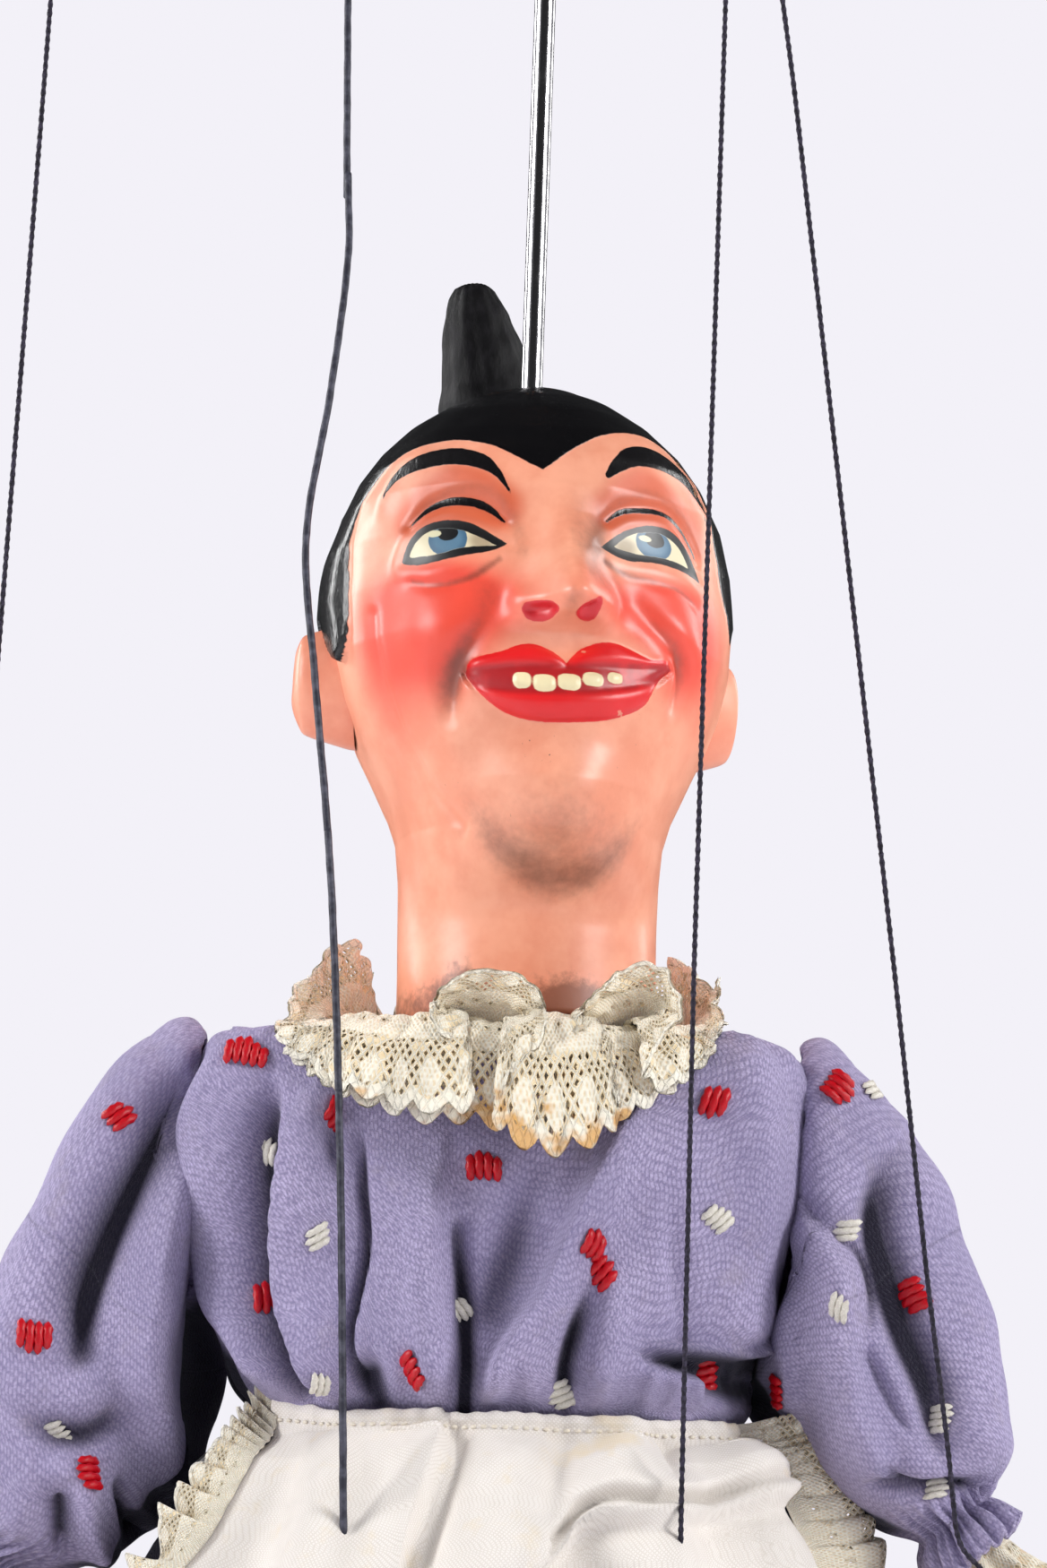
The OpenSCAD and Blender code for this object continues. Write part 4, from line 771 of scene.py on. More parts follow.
def carving(s, z):
    """The fine relief of the face, in millimetres outwards."""
    lips = inside(s, z, LIPS)
    proud = 1.05 * np.where(lips > 0, 1 - np.exp(-np.maximum(lips, 0) / 0.9), 0)
    proud -= 0.75 * grooves(s, z, 0.8, MOUTH_LINE) * (lips > -0.3)
    proud += 0.3 * smooth(dots(s, z, TEETH, 3.0) / 0.5)
    proud += 0.28 * np.exp(-(((deepest(s, z, EYE_R, EYE_L) + 1.3) / 1.1) ** 2))
    proud += 0.5 * grooves(s, z, 2.6, BROW_R, BROW_L) - 0.55 * grooves(s, z, 0.9, LID_LINE_R, LID_LINE_L)
    proud -= 0.28 * grooves(s, z, 1.0, UNDER_EYE_R, UNDER_EYE_L) + 0.45 * grooves(s, z, 1.3, FACE_EDGE)
    proud -= 1.5 * grooves(s, z, 1.9, SMILE_R) * along(z, [(-54, 0), (-50, 0.7), (-46, 1), (-36, 0.2)])
    proud -= 1.5 * grooves(s, z, 1.7, SMILE_L) * along(z, [(-51, 0), (-47, 0.6), (-43, 1), (-35, 0.2)])
    proud -= 0.9 * smooth(deepest(s, z, NOSTRIL_R, NOSTRIL_L) / 1.1)
    sideburn = smooth((-s - 33) / 5) * smooth((-z - 18) / 12) * smooth((z + 45) / 5)
    proud += smooth((inside(s, z, HAIR) + 0.25) / 0.5) * (0.16 + 1.2 * sideburn)
    return proud + humps(s, z, [
        (1.25, -15.6, -28.2, 7.5, 4.2), (1.25, 12.7, -27.1, 7.5, 4.2), (1, -6.4, -37.2, 2.2, 2.4),
        (1, 4.4, -36.6, 2.2, 2.4), (-0.4, 0.6, -41.6, 1.6, 2), (0.8, -19.5, -41, 5, 5),
        (0.8, 18.5, -39.5, 4.5, 4.5), (0.6, -1.5, -64, 10, 6), (0.5, 0, -36.4, 2.4, 2)])


def to_part(points):
    """Points of the head's own frame in the part's frame."""
    return turned(points, HEAD_YAW) + [0, 0, CROWN_Z]


def face_values(s, z):
    """How deep each place lies in each painted outline, and how much of each shade it has."""
    # Brown along the smile creases, under the eyes and round the sockets, and painted shade under the chin.
    umber = (0.95 * grooves(s, z, 1.9, SMILE_R) * along(z, [(-53, 0), (-49, 0.8), (-45, 1), (-38, 0.1)])
             + 0.7 * grooves(s, z, 1.2, SMILE_L) * along(z, [(-50, 0), (-46, 0.7), (-43, 1), (-36, 0.3)])
             + 0.55 * grooves(s, z, 0.5, UNDER_EYE_R, UNDER_EYE_L)
             + 0.35 * grooves(s, z, 1.3, SOCKET_R, SOCKET_L)
             + 0.6 * grooves(s, z, 2.6, JAW) * along(s, JAW_SHADE))
    return {
        "hair": inside(s, z, HAIR), "lips": inside(s, z, LIPS), "teeth": dots(s, z, TEETH, 3.0),
        "brow": np.maximum.reduce([stroke(s, z, b) for b in (BROW_R, BROW_L, LID_LINE_R, LID_LINE_L)]),
        "eye": deepest(s, z, EYE_R, EYE_L), "white": deepest(s, z, WHITE_R, WHITE_L),
        "iris": dots(s, z, IRISES), "pupil": dots(s, z, PUPILS), "catch": dots(s, z, CATCHES),
        "nostril": deepest(s, z, NOSTRIL_R, NOSTRIL_L), "mouth": grooves(s, z, 0.9, MOUTH_LINE),
        "lid": np.minimum(sum(smooth((stroke(s, z, line) + 1.5) / 3) for line in LIDS), 1),
        "blush": humps(s, z, BLUSH_AND_HIGHLIGHTS), "umber": umber + humps(s, z, UMBER_AND_SHADE),
        "worn": 0.62 * smooth((-82 - z) / 7) + humps(s, z, [(0.4, -20, -84, 7, 7), (0.35, 5, -88, 8, 5)]),
        "eye_shade": humps(s, z, [(1, -11.2, -28.6, 2, 2), (1, 8, -28, 1.8, 1.6)]),
        "dirt": hump(s, z, 0, -60, 26, 12),
        "chip": humps(s, z, [(1, 2, -43.2, 1.5, 1), (1, 8.5, -50.8, 1.6, 1)]),
        "hair_worn": humps(s, z, [(1, 26, -15, 2, 9), (0.5, 0, -3, 60, 2.4)]),
    }


def make_head():
    columns = 380
    a = turn(columns)[0]
    a = a - math.radians(27) * np.sin(a)
    a = np.where(a > math.pi, a - 2 * math.pi, a)
    z = np.concatenate([-0.02 - 9.98 * np.linspace(0, 1, 34) ** 1.6, np.linspace(-10.3, -69.7, 197),
                        np.linspace(-71, -89, 14), [-89.7, -HEAD_H]])
    angle, depth = np.meshgrid(a, z)
    form = head_form(angle, depth)
    s = angle * ARC_R
    relief = carving(s, depth) + 0.06 * ripple(form, 7, 3)
    points = raised(form, True, relief * smooth((depth + 88) / 4))
    points[-1, :, :2] = form[-1, :, :2] * 0.965
    ends = [[0, 0, 0], [HEAD_LEAN * HEAD_H, 0, -HEAD_H]]
    faces = grid_faces(len(z), columns, True).tolist()
    top, last = len(z) * columns, (len(z) - 1) * columns
    for j in range(columns):
        k = (j + 1) % columns
        faces += [[top, j, k], [top + 1, last + k, last + j]]
    values = {name: np.append(value, [1.0 if name == "hair" else 0.0, -5.0])
              for name, value in face_values(s, depth).items()}
    points = to_part(np.concatenate([points.reshape(-1, 3), ends]))
    return piece("head_painted", points, faces, HEAD_PAINT, values=values)


def make_topknot():
    rows, columns = 72, 96
    t, a = down(rows), turn(columns)
    w = 8.6 * along(t, [(0, 0.05), (0.012, 0.2), (0.04, 0.34), (0.09, 0.44), (0.15, 0.52), (0.35, 0.68),
                        (0.6, 0.82), (0.75, 0.98), (0.88, 1.3), (1, 1.5)])
    cx = along(t, [(0, -6.8), (0.35, -5.2), (0.7, -3.2), (0.85, -1.2), (1, 1.0)])
    points = np.stack([cx + w * np.sin(a), 12.5 - 0.9 * w * np.cos(a), 20.0 - 27 * t + 0 * a], -1)
    strands = 0.07 * np.sin(9 * a + 5 * t) * smooth(t / 0.2) + 0.04 * np.sin(17 * a - 3 * t)
    points = raised(points, True, strands + 0.16 * ripple(points, 6, 11))
    tip = rows * columns
    faces = grid_faces(rows, columns, True).tolist()
    faces += [[tip, j, (j + 1) % columns] for j in range(columns)]
    faces += [list(range(tip - columns, tip))[::-1]]
    points = to_part(np.concatenate([points.reshape(-1, 3), [[-6.8, 12.5, 20.1]]]))
    return piece("topknot", points, faces, MATT_HAIR)


def make_ear(side):
    """A simple carved ear with a rolled rim and a hollow."""
    k = SIDE[side]
    rows, columns = 40, 72
    a = turn(columns)
    r = np.sin(down(rows) * math.pi / 2)
    y = 5.6 * (1 + 0.10 * np.cos(a)) * r * np.sin(a)
    z = 8.9 * (1 - 0.06 * np.cos(a)) * r * np.cos(a)
    dish = 3.7 * np.sqrt(np.maximum(1 - r**2, 0)) - 0.5 * hump(y, z, -0.8, 0.6, 2.0, 3.0)
    dish += 0.12 * np.exp(-(((r - 0.8) / 0.13) ** 2))
    reach, back_in = (1.7, 26.6) if side == "R" else (0.95, 26.0)
    out = dish * reach + back_in - 3.2 * smooth((r - 0.75) / 0.25)
    pivot = np.array([k * 27.3, 4, 0])
    points = np.stack([k * out, 3.2 + y, -42.5 + z], -1)
    points = turned(points - pivot, k * math.radians(14)) + pivot
    points[..., 0] -= HEAD_LEAN * points[..., 2]
    middle = [[0, columns + j, columns + (j + 1) % columns] for j in range(columns)]
    faces = middle + grid_faces(rows, columns, True)[columns:].tolist()
    faces = faces if side == "R" else [f[::-1] for f in faces]
    count = rows * columns
    values = {name: np.full(count, -5.0) for name in OUTLINED} | {name: np.zeros(count) for name in SHADES}
    return piece("ear_" + side, to_part(points), faces, HEAD_PAINT,
                 values=values | {"blush": np.full(count, 0.22)})


# Strings: routes as in the part, in millimetres

STRING_R = 0.375
WAXED_R = 0.5
BAR_Y = -14.85


def hand_knot(side):
    """Where a hand's string is tied, over the eye in the back of the hand."""
    k = SIDE[side]
    reach = FOREARM + 12.5
    down = -UPPER_ARM - reach * math.cos(ELBOW_BEND) + 2 * math.sin(ELBOW_BEND)
    ahead = -reach * math.sin(ELBOW_BEND) - 2 * math.cos(ELBOW_BEND)
    sp = SPLAY[side]
    return np.array([k * (SHOULDER_X - down * math.sin(sp)) + k * 4.9 * math.cos(sp), ahead,
                     SHOULDER_Z + down * math.cos(sp) + 4.9 * math.sin(sp) + 3.95])


def from_control(x, y, top):
    """The straight start of a string, down from its knot on the control."""
    return [turned(np.array([x, y, z], float), CONTROL_YAW) for z in (top, top - 10.3)]


ROUTES = {
    "leg_string_R": [
        *from_control(-33, BAR_Y, -20.2), (-27.3, -14.9, -263), (-26.2, -18, -285), (-25.6, -21, -298),
        (-26.9, -27, -319), (-29, -31, -340), (-26.8, -33.5, -360), (-23.4, -35.5, -388),
        (-20.6, -37.5, -425), (-18.4, -37.5, -468), (-18.4, -30.5, -476), (-20, -10.3, -532.05)],
    "leg_string_L": [
        *from_control(33, BAR_Y, -20.2), (24.4, -33.5, -262), (23.4, -37.5, -396), (23.6, -37, -466),
        (24, -30.5, -475), (20, -10.3, -532.05)],
    "hand_string_R": [
        *from_control(-35, -64, -53.9), (-67, -33, -284), (-70, -26, -396), hand_knot("R")],
    "hand_string_L": [
        *from_control(35, -64, -53.9), (33.2, -45, -280), (49.7, -31, -396), seen_at(1035, 1432, -32),
        seen_at(1058, 1620, -31), seen_at(1068, 1725, -29), hand_knot("L")],
}
TURN_TOP = -140.0
LINK_TOP = -380.0
BODY_TOP = -414.0
WRIST_TOP = -452.0


def even(line, step=None, count=None):
    """The same line with evenly spaced points, either a step apart or that many."""
    line = np.array(line, float)
    far = distance_along(line, 0)
    at = np.linspace(0, far[-1], count or max(2, int(far[-1] / step)))
    return np.stack([np.interp(at, far, line[:, k]) for k in range(3)], -1)


def rounded_line(points, reach=3.0):
    """A line whose corners are rounded over reach millimetres on each side."""
    points = [np.array(p, float) for p in points]
    out = [points[0]]
    for a, b, c in zip(points[:-2], points[1:-1], points[2:], strict=True):
        p = b + (a - b) / np.linalg.norm(a - b) * reach
        q = b + (c - b) / np.linalg.norm(c - b) * reach
        out += [(1 - t) ** 2 * p + 2 * t * (1 - t) * b + t * t * q for t in np.linspace(0, 1, 7)]
    return [*out, points[-1]]


def tube(name, line, radius, material, lobes, depth, pitch):
    """A thread along a line, with plies that wind round it."""
    sides = 10
    d = np.gradient(line, axis=0)
    d /= np.linalg.norm(d, axis=1, keepdims=True)
    side = np.cross(d, [0.0, 1.0, 0.0])
    side /= np.linalg.norm(side, axis=1, keepdims=True)
    other = np.cross(d, side)[:, None]
    far = distance_along(line, 0)[:, None]
    g = turn(sides)
    r = radius * (1 - depth * (0.5 - 0.5 * np.cos(lobes * (g - 2 * math.pi * far / pitch))))
    r = (r * (1 + 0.05 * np.sin(far * 1.7) * np.sin(far * 0.43)))[..., None]
    g = g[..., None]
    points = line[:, None] + side[:, None] * r * np.cos(g) + other * r * np.sin(g)
    return piece(name, points, [f[::-1] for f in capped(len(line), sides)], material)


def tied(obj, body):
    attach(obj, body)
    return obj


def knot(name, at, radius, material, body):
    """A small pulled knot: a lumpy ball with turns of thread round it."""
    rows, columns = 22, 28
    t = np.linspace(0.02, math.pi - 0.02, rows)[:, None]
    g = turn(columns)
    bulge = 1 + 0.13 * np.cos(4 * t + 2 * g) + 0.07 * np.cos(3 * g)
    points = np.stack([np.sin(t) * np.cos(g) * bulge, np.sin(t) * np.sin(g) * bulge,
                       np.cos(t) * 0.92 + 0 * g], -1)
    return tied(piece(name, points * radius + at, capped(rows, columns), material), body)


def loop(name, at, radius, wire, angle, material, body):
    """The loop that a string is tied in round an eye."""
    rows, columns = 40, 10
    g, h = turn(rows).T, turn(columns)
    r = radius + wire * np.cos(h)
    points = turned(np.stack([r * np.cos(g), wire * np.sin(h) + 0 * g, r * np.sin(g)], -1), angle)
    faces = grid_faces(rows + 1, columns, True)[:, ::-1] % (rows * columns)
    return tied(piece(name, points + at, faces, material), body)


def cut(line, low, high):
    """The stretch of a falling line between two heights, ends included."""
    z = line[:, 2]
    ends = [np.array([np.interp(-h, -z, line[:, k]) for k in range(3)]) for h in (high, low)]
    middle = line[(z < high - 0.05) & (z > low + 0.05)]
    return np.concatenate([[ends[0]], middle, [ends[1]]])


def make_string(name):
    """One string in stretches, split at the joints, and its knots."""
    side = name[-1]
    leg = name.startswith("leg")
    waxed = name == "leg_string_R"
    radius = WAXED_R if waxed else STRING_R
    material = WAXED_CORD if waxed else BLACK_THREAD
    route = ROUTES[name]
    line = even(spline([tuple(p) for p in route], 12), 0.7) if waxed else even(rounded_line(route), 0.3)
    top, end = line[0][2], line[-1][2]
    holder = "leg_bar" if leg else "lever_" + side
    limb = "thigh_" + side if leg else "arm_" + side
    tip = limb if leg else "forearm_" + side
    spans = [("top", top, TURN_TOP, holder, "control"), ("long", TURN_TOP, LINK_TOP, "control", "neck_link"),
             ("neck", LINK_TOP, BODY_TOP, "neck_link", "torso")]
    if leg:
        spans.append(("low", BODY_TOP, end, "torso", limb))
    else:
        spans += [("low", BODY_TOP, WRIST_TOP, "torso", limb), ("wrist", WRIST_TOP, end, limb, tip)]
    made = {}
    for part, high, low, a, b in spans:
        stretch = cut(line, low, high)
        form = (1, 0.06, 9.0) if waxed else (2, 0.3, 2.5)
        obj = tube(f"{name}_{part}", stretch, radius, material, *form)
        start = stretch[0] - [0, 0, 12.0 if part == "top" else 0]
        tuple(start * MM)
        tuple(stretch[-1] * MM)
        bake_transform(obj)
        made[part] = (obj, stretch)
    top_knot = knot(f"{name}_top_knot", line[0] + [0, 0, 1.0], 1.15, material, holder)
    low_knot = knot(f"{name}_low_knot", line[-1] + [0, 0, 0.2], 0.95, material, tip)
    low_loop = loop(f"{name}_loop", line[-1] - [0, 0, 1.75], 1.75, radius, 0.0 if leg else math.pi / 2,
                    material, tip)
    companions = {"top": [top_knot], "long": [made["neck"][0]], "low": [low_knot, low_loop]}
    if not leg:
        companions["low"].append(made["wrist"][0])
    for part, with_it in companions.items():
        obj, stretch = made[part]
        tuple(stretch[0] * MM)
        2 * radius * MM
        (stretch * MM).tolist()
    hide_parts(name)
    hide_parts(name.replace("string", "string_low"))


# Cloth. Folds follow lines of the photograph on the side that faces the camera


def project(points):
    v = points - cam_at
    far = -(v @ cam_back)
    return (PICTURE[0] / 2 + FOCAL_PX * (v @ cam_right) / far, PICTURE[1] / 2 - FOCAL_PX * (v @ cam_up) / far)


def beside(x, y, line):
    """The distance from a line of points (x, y) or (x, y, amount), positive on its left as it runs
    down, and the amount there, which is 1 where none is given."""
    line = spline([(*p, 1)[:3] for p in line], 5)
    best = np.full(np.shape(x), 1e9)
    side = np.ones(np.shape(x))
    amount = np.zeros(np.shape(x))
    for a, b in zip(line[:-1], line[1:], strict=True):
        off_x, off_y, t = from_stretch(x, y, a, b)
        far = np.hypot(off_x, off_y)
        near = far < best
        best = np.where(near, far, best)
        side = np.where(near, np.sign((b[0] - a[0]) * off_y - (b[1] - a[1]) * off_x), side)
        amount = np.where(near, a[2] + (b[2] - a[2]) * t, amount)
    return best * side, amount


def folds_seen(points, out, folds, depth=1.0):
    """The height of the folds and how deep in them each point is, as a share of painted shade. A fold is a
    line, its falls to the left and right, and its height."""
    px, py = project(points)
    facing = smooth((0.25 - out[..., 1]) / 0.5)
    total = np.zeros(px.shape)
    shade = np.zeros(px.shape)
    for line, left, right, height in folds:
        d, amount = beside(px, py, line)
        width = np.where(d > 0, left, right)
        part = np.clip(amount, 0, 1.5) * np.exp(-np.abs(d / width) ** 1.8)
        total += depth * height * part
        if height < 0:
            shade += part * min(1.0, -height / 3.6)
    return np.maximum(total, -3.4) * facing, np.clip(shade * 1.15 - 0.08, 0, 1) * facing


BODICE_FOLDS = [
    ([(256, 1180, 0.6), (240, 1250), (240, 1330), (258, 1420), (298, 1500), (332, 1560, 0.8)], 20, 28, 3.0),
    ([(304, 1220, 0.3), (294, 1270, 0.9), (290, 1320), (296, 1400), (312, 1455),
      (346, 1540, 0.8)], 17, 9, -4.2),
    ([(346, 1225, 0.6), (326, 1289), (322, 1361), (330, 1433), (364, 1534)], 8, 44, 3.4),
    ([(377, 1240, 0.4), (371, 1282), (378, 1325, 0.1)], 6, 8, -1.8),
    ([(407, 1270, 0.2), (405, 1320), (409, 1385), (401, 1450), (397, 1500, 0.9),
      (412, 1550, 0.3)], 8, 4, -2.4),
    ([(414, 1532), (424, 1560)], 15, 15, -2.6),
    ([(450, 1250, 0.3), (458, 1350, 0.8), (462, 1450), (478, 1560)], 44, 30, 1.3),
    ([(494, 1290, 0.3), (484, 1352, 0.8), (483, 1428), (494, 1496), (500, 1577)], 24, 9, 2.0),
    ([(508, 1370, 0.4), (513, 1440, 0.9), (518, 1510, 1.1), (516, 1575, 1.2)], 7, 11, -4.2),
    ([(600, 1310, 0.5), (572, 1390), (545, 1460)], 26, 26, -1.6),
    ([(690, 1268, 0.7), (654, 1336), (622, 1404), (602, 1450), (562, 1505), (539, 1552, 0.9)], 8, 40, 3.4),
    ([(655, 1440, 0.2), (642, 1480, 0.9), (632, 1520), (628, 1560)], 10, 11, -3.2),
    ([(690, 1400, 0.2), (676, 1470), (668, 1560)], 14, 30, 1.6),
    ([(715, 1230, 0.4), (740, 1330, 0.8), (742, 1420, 0.4)], 50, 60, 1.2),
    ([(745, 1340, 0.2), (752, 1420, 0.8), (758, 1490, 0.6)], 10, 16, -1.2),
    ([(828, 1190, 0.9), (850, 1270, 0.8), (846, 1380, 0.6), (822, 1480, 0.8)], 34, 26, 1.9),
    ([(716, 1497, 0.4), (767, 1506), (821, 1512, 1.1), (858, 1498), (884, 1466, 0.6)], 26, 6, 2.2),
    ([(720, 1516, 0.4), (767, 1526), (824, 1534, 1.2), (862, 1520), (892, 1484, 0.6)], 8, 22, -4.0),
    ([(722, 1530), (716, 1570)], 10, 10, 1.2),
    ([(752, 1535), (748, 1570)], 10, 10, 1.0),
    ([(800, 1545), (842, 1556), (880, 1540)], 14, 16, -3.6),
]
# What lies in the shade beyond the bodice's outer pleat, and how far back it goes
BODICE_GAP = ([(196, 1270, 0.3), (200, 1340, 0.8), (212, 1400), (236, 1465), (258, 1520),
               (276, 1560)], 90, 9, 5.0)
SLEEVE_FOLDS = {
    "R": [
        ([(186, 1150, 0.8), (150, 1215), (108, 1300), (62, 1390), (28, 1460), (6, 1540, 0.7)], 42, 32, 2.4),
        ([(200, 1215, 0.3), (180, 1262), (144, 1325, 1.1), (114, 1385, 1.2), (92, 1440, 1.2),
          (86, 1500, 0.7)], 24, 24, -4.6),
        ([(198, 1290, 0.6), (174, 1360), (160, 1430), (147, 1510), (160, 1580),
          (176, 1650, 0.8)], 11, 32, 3.2),
        ([(205, 1180, 0.6), (216, 1250, 0.5)], 12, 12, 0.8),
        ([(40, 1592, 0.6), (64, 1600), (98, 1602), (128, 1588, 0.8)], 17, 20, -2.6),
        ([(66, 1640, 0.7), (92, 1655), (100, 1700), (118, 1745)], 14, 14, 1.6),
        ([(66, 1680), (70, 1725)], 10, 11, -2.4),
        ([(140, 1660, 0.6), (150, 1700), (158, 1745)], 11, 11, -2.4),
        ([(20, 1540, 0.4), (30, 1640, 0.8), (20, 1700)], 22, 20, 1.2),
    ],
    "L": [
        ([(905, 1190, 0.8), (915, 1260, 0.8), (912, 1330, 0.8)], 20, 30, 1.4),
        ([(950, 1195, 0.6), (1000, 1260), (1046, 1350), (1080, 1430), (1098, 1520),
          (1104, 1610)], 30, 36, 1.8),
        ([(990, 1300, 0.4), (980, 1360), (994, 1420, 1.1), (1010, 1480), (1040, 1545, 0.9),
          (1050, 1610, 0.4)], 20, 28, -4.2),
        ([(924, 1384, 0.8), (944, 1430), (950, 1490), (960, 1560), (985, 1625, 0.8)], 36, 10, 3.0),
        ([(930, 1380, 0.5), (958, 1400), (971, 1440), (968, 1475, 0.5)], 4, 8, -1.6),
        ([(944, 1480, 0.5), (974, 1530), (1000, 1580), (1016, 1600, 0.4)], 6, 8, -0.9),
        ([(985, 1655, 0.8), (1030, 1668), (1090, 1662)], 11, 11, -2.6),
        ([(1035, 1470, 0.4), (1062, 1530, 0.8), (1078, 1600, 0.8)], 14, 14, 0.8),
        ([(890, 1430, 0.6), (880, 1500), (885, 1560)], 14, 14, 1.0),
    ],
}

# Rows of the dress as in the part: down from the top, half width, half depth in front and behind
BODICE_TOP_Z = -402.4
BODICE_ROWS = [
    (0.2, 23, 21.2, 20.2), (-0.3, 30, 21.8, 20.6), (-1.6, 38.4, 23.2, 22), (-4, 40.4, 24.2, 22.8),
    (-8, 41, 25.2, 23.4), (-18, 39.6, 27, 24), (-28, 37.6, 28, 24), (-38.5, 36.2, 28, 22.6),
    (-46, 34.5, 27.4, 20.6), (-49, 32.6, 25.8, 19.8), (-51, 31.4, 24.0, 19.2)]
SKIRT_ROWS = [
    (0, 31, 24, 20, 0.1), (-8, 37, 31, 27.4, 0.2), (-21, 43, 37, 35, 0.35), (-46, 51, 44, 45, 0.6),
    (-76, 60, 52.4, 55, 0.8), (-106, 67, 59, 63, 0.95), (-134.3, 72, 64, 68, 1.05)]
SLEEVE_ROWS = [
    (41.0, -2.6, 41.6, -32, 12.8), (44.6, -1.2, 41.5, -35.4, 14.4), (49, -4.6, 41.4, -37.4, 15.6),
    (53.8, -10, 41.2, -39.6, 16.4), (59.2, -18.2, 41.2, -43.6, 16.8), (63.8, -30.6, 41.8, -48.6, 16.8),
    (67.4, -42, 43.8, -54.4, 16.2), (70.6, -60, 48.2, -66.5, 14), (71, -67, 53, -72, 10),
    (70.4, -69.6, 59, -75, 6.6), (72.6, -71, 59.6, -78.4, 8.6), (74.6, -72.6, 60.4, -81.6, 9.6)]
# How much further in each sleeve's inner side reaches at each row
SLEEVE_IN = {"R": [(0, 0), (4, 0.5), (6, 2.3), (7, 5), (8, 5), (9, 1), (10, 0), (11, 0)],
             "L": [(0, 2.2), (3, 4), (4, 6), (5, 7.5), (6, 7), (7, 3.6), (8, 1.5), (9, 2.5), (11, 3)]}
# The same behind the arm, where the sleeve is fuller, and how much its outer side and its length lose
SLEEVE_REAR = {"R": [(2, 0), (4, 7), (5, 10), (6, 11), (7, 8), (8, 4), (9, 0)],
               "L": [(2, 1), (4, 5), (5, 8), (6, 10), (7, 8), (8, 4), (9, 0)]}
SLEEVE_OUT = {"R": [(0, 0), (2, 2.6), (7, 2.8), (9, 1.5), (11, 0)],
              "L": [(0, 1), (2, 3.6), (7, 4.4), (9, 5.6), (11, 5.6)]}
SLEEVE_RISE = {"R": [(0, 0), (11, 0)], "L": [(3, 0), (5, 2.5), (7, 7.4), (9, 8.6), (11, 9)]}
SKIRT_DROP = 134.3
SKIRT_FALL = (WAIST_Z - HEM_Z) / SKIRT_DROP
WAIST_STEP = 0.3


def oval(a, w, front, back, e):
    s, c = np.sin(a), np.cos(a)
    k = (np.abs(s) ** e + np.abs(c) ** e) ** (-1 / e)
    return w * s * k, -np.where(c > 0, front, back) * c * k


def raised(points, closed, height):
    return points + normals_of(points, closed) * height[..., None]


def worn(obj, body, slot, node, flat, rests_on):
    """A sheet that rides on one body, in place of the part's own piece if that is named."""
    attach(obj, body)
    if node:
        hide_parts(node)
    return obj


def bent(obj):
    """A stretch of the dress between two bodies, baked where it stands."""
    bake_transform(obj)


def make_bodice():
    rows = spline(BODICE_ROWS, 13)[:, None]
    a = turn(300) - math.pi
    a = a - 0.35 * np.sin(a)
    square = 2.5 + 1.2 * smooth((40 + rows[..., 0]) / 20)
    x, y = oval(a, rows[..., 1], rows[..., 2], rows[..., 3], square)
    base = np.stack([x, y, BODICE_TOP_Z + rows[..., 0] + 0 * a], -1)
    out = normals_of(base, True)
    t = -rows[..., 0] / 51
    behind = smooth(out[..., 1] / 0.5)
    # The folds, with painted shade down in them; beyond the outer pleat the cloth is pushed back and painted
    # in shade.
    height, deep = folds_seen(base, out, BODICE_FOLDS, 1.6)
    gap = folds_seen(base, out, [BODICE_GAP])[0]
    deep += np.clip(gap / 2.2, 0, 1)
    height *= 1 - 0.85 * smooth((t - 0.88) / 0.09)
    pleats = 1.3 * np.cos(14 * a + 0.7 * np.sin(a)) + 0.5 * np.cos(23 * a + 2 * t)
    height += behind * smooth(t * 3) * pleats
    gathers = np.cos(46 * a + 2.5 * np.sin(3 * a)) * 0.34 + np.cos(31 * a + 1) * 0.25
    at_waist = smooth((t - 0.8) / 0.1) * (1 - smooth((t - 0.9) / 0.08))
    height += gathers * (at_waist * 1.2 + smooth((0.12 - t) / 0.12)) + 0.28 * ripple(base, 11, 21)
    blouse = np.sin(math.pi * np.clip((t - 0.62) / 0.38, 0, 1))
    height += 1.2 * blouse * smooth((0.2 - out[..., 1]) / 0.4)
    points = raised(base, True, height)
    points[..., 2] -= 0.8 * smooth((t - 0.9) / 0.1)
    points[..., 1] += gap
    obj = sheet_piece("bodice_cloth", points, TWILL, CLOTH_T, True, deep=np.clip(deep, 0, 1))
    return worn(obj, "torso", "dress", "bodice", (0.235, 0.065), "torso")


def sleeve_base(side, row, at, a):
    """x and z of the sleeve's rows at the angle a, which is 0 on its outer side."""
    s = SIDE[side]
    shear = math.tan(SPLAY[side]) - math.tan(math.radians(22.5))
    cx, cz = (row[..., 0] + row[..., 2]) / 2, (row[..., 1] + row[..., 3]) / 2
    ux, uz = (row[..., 0] - row[..., 2]) / 2, (row[..., 1] - row[..., 3]) / 2
    z = cz + uz * np.cos(a)
    inner = (0.5 - 0.5 * np.cos(a)) ** 1.3
    inwards = (along(at, SLEEVE_IN[side]) + along(at, SLEEVE_REAR[side]) * smooth(np.sin(a) * 1.3)) * inner
    inwards += along(at, SLEEVE_OUT[side]) * (0.5 + 0.5 * np.cos(a))
    x = cx + ux * np.cos(a) - shear * np.minimum(0, z + 8) - inwards
    return x * s, z + along(at, SLEEVE_RISE[side])


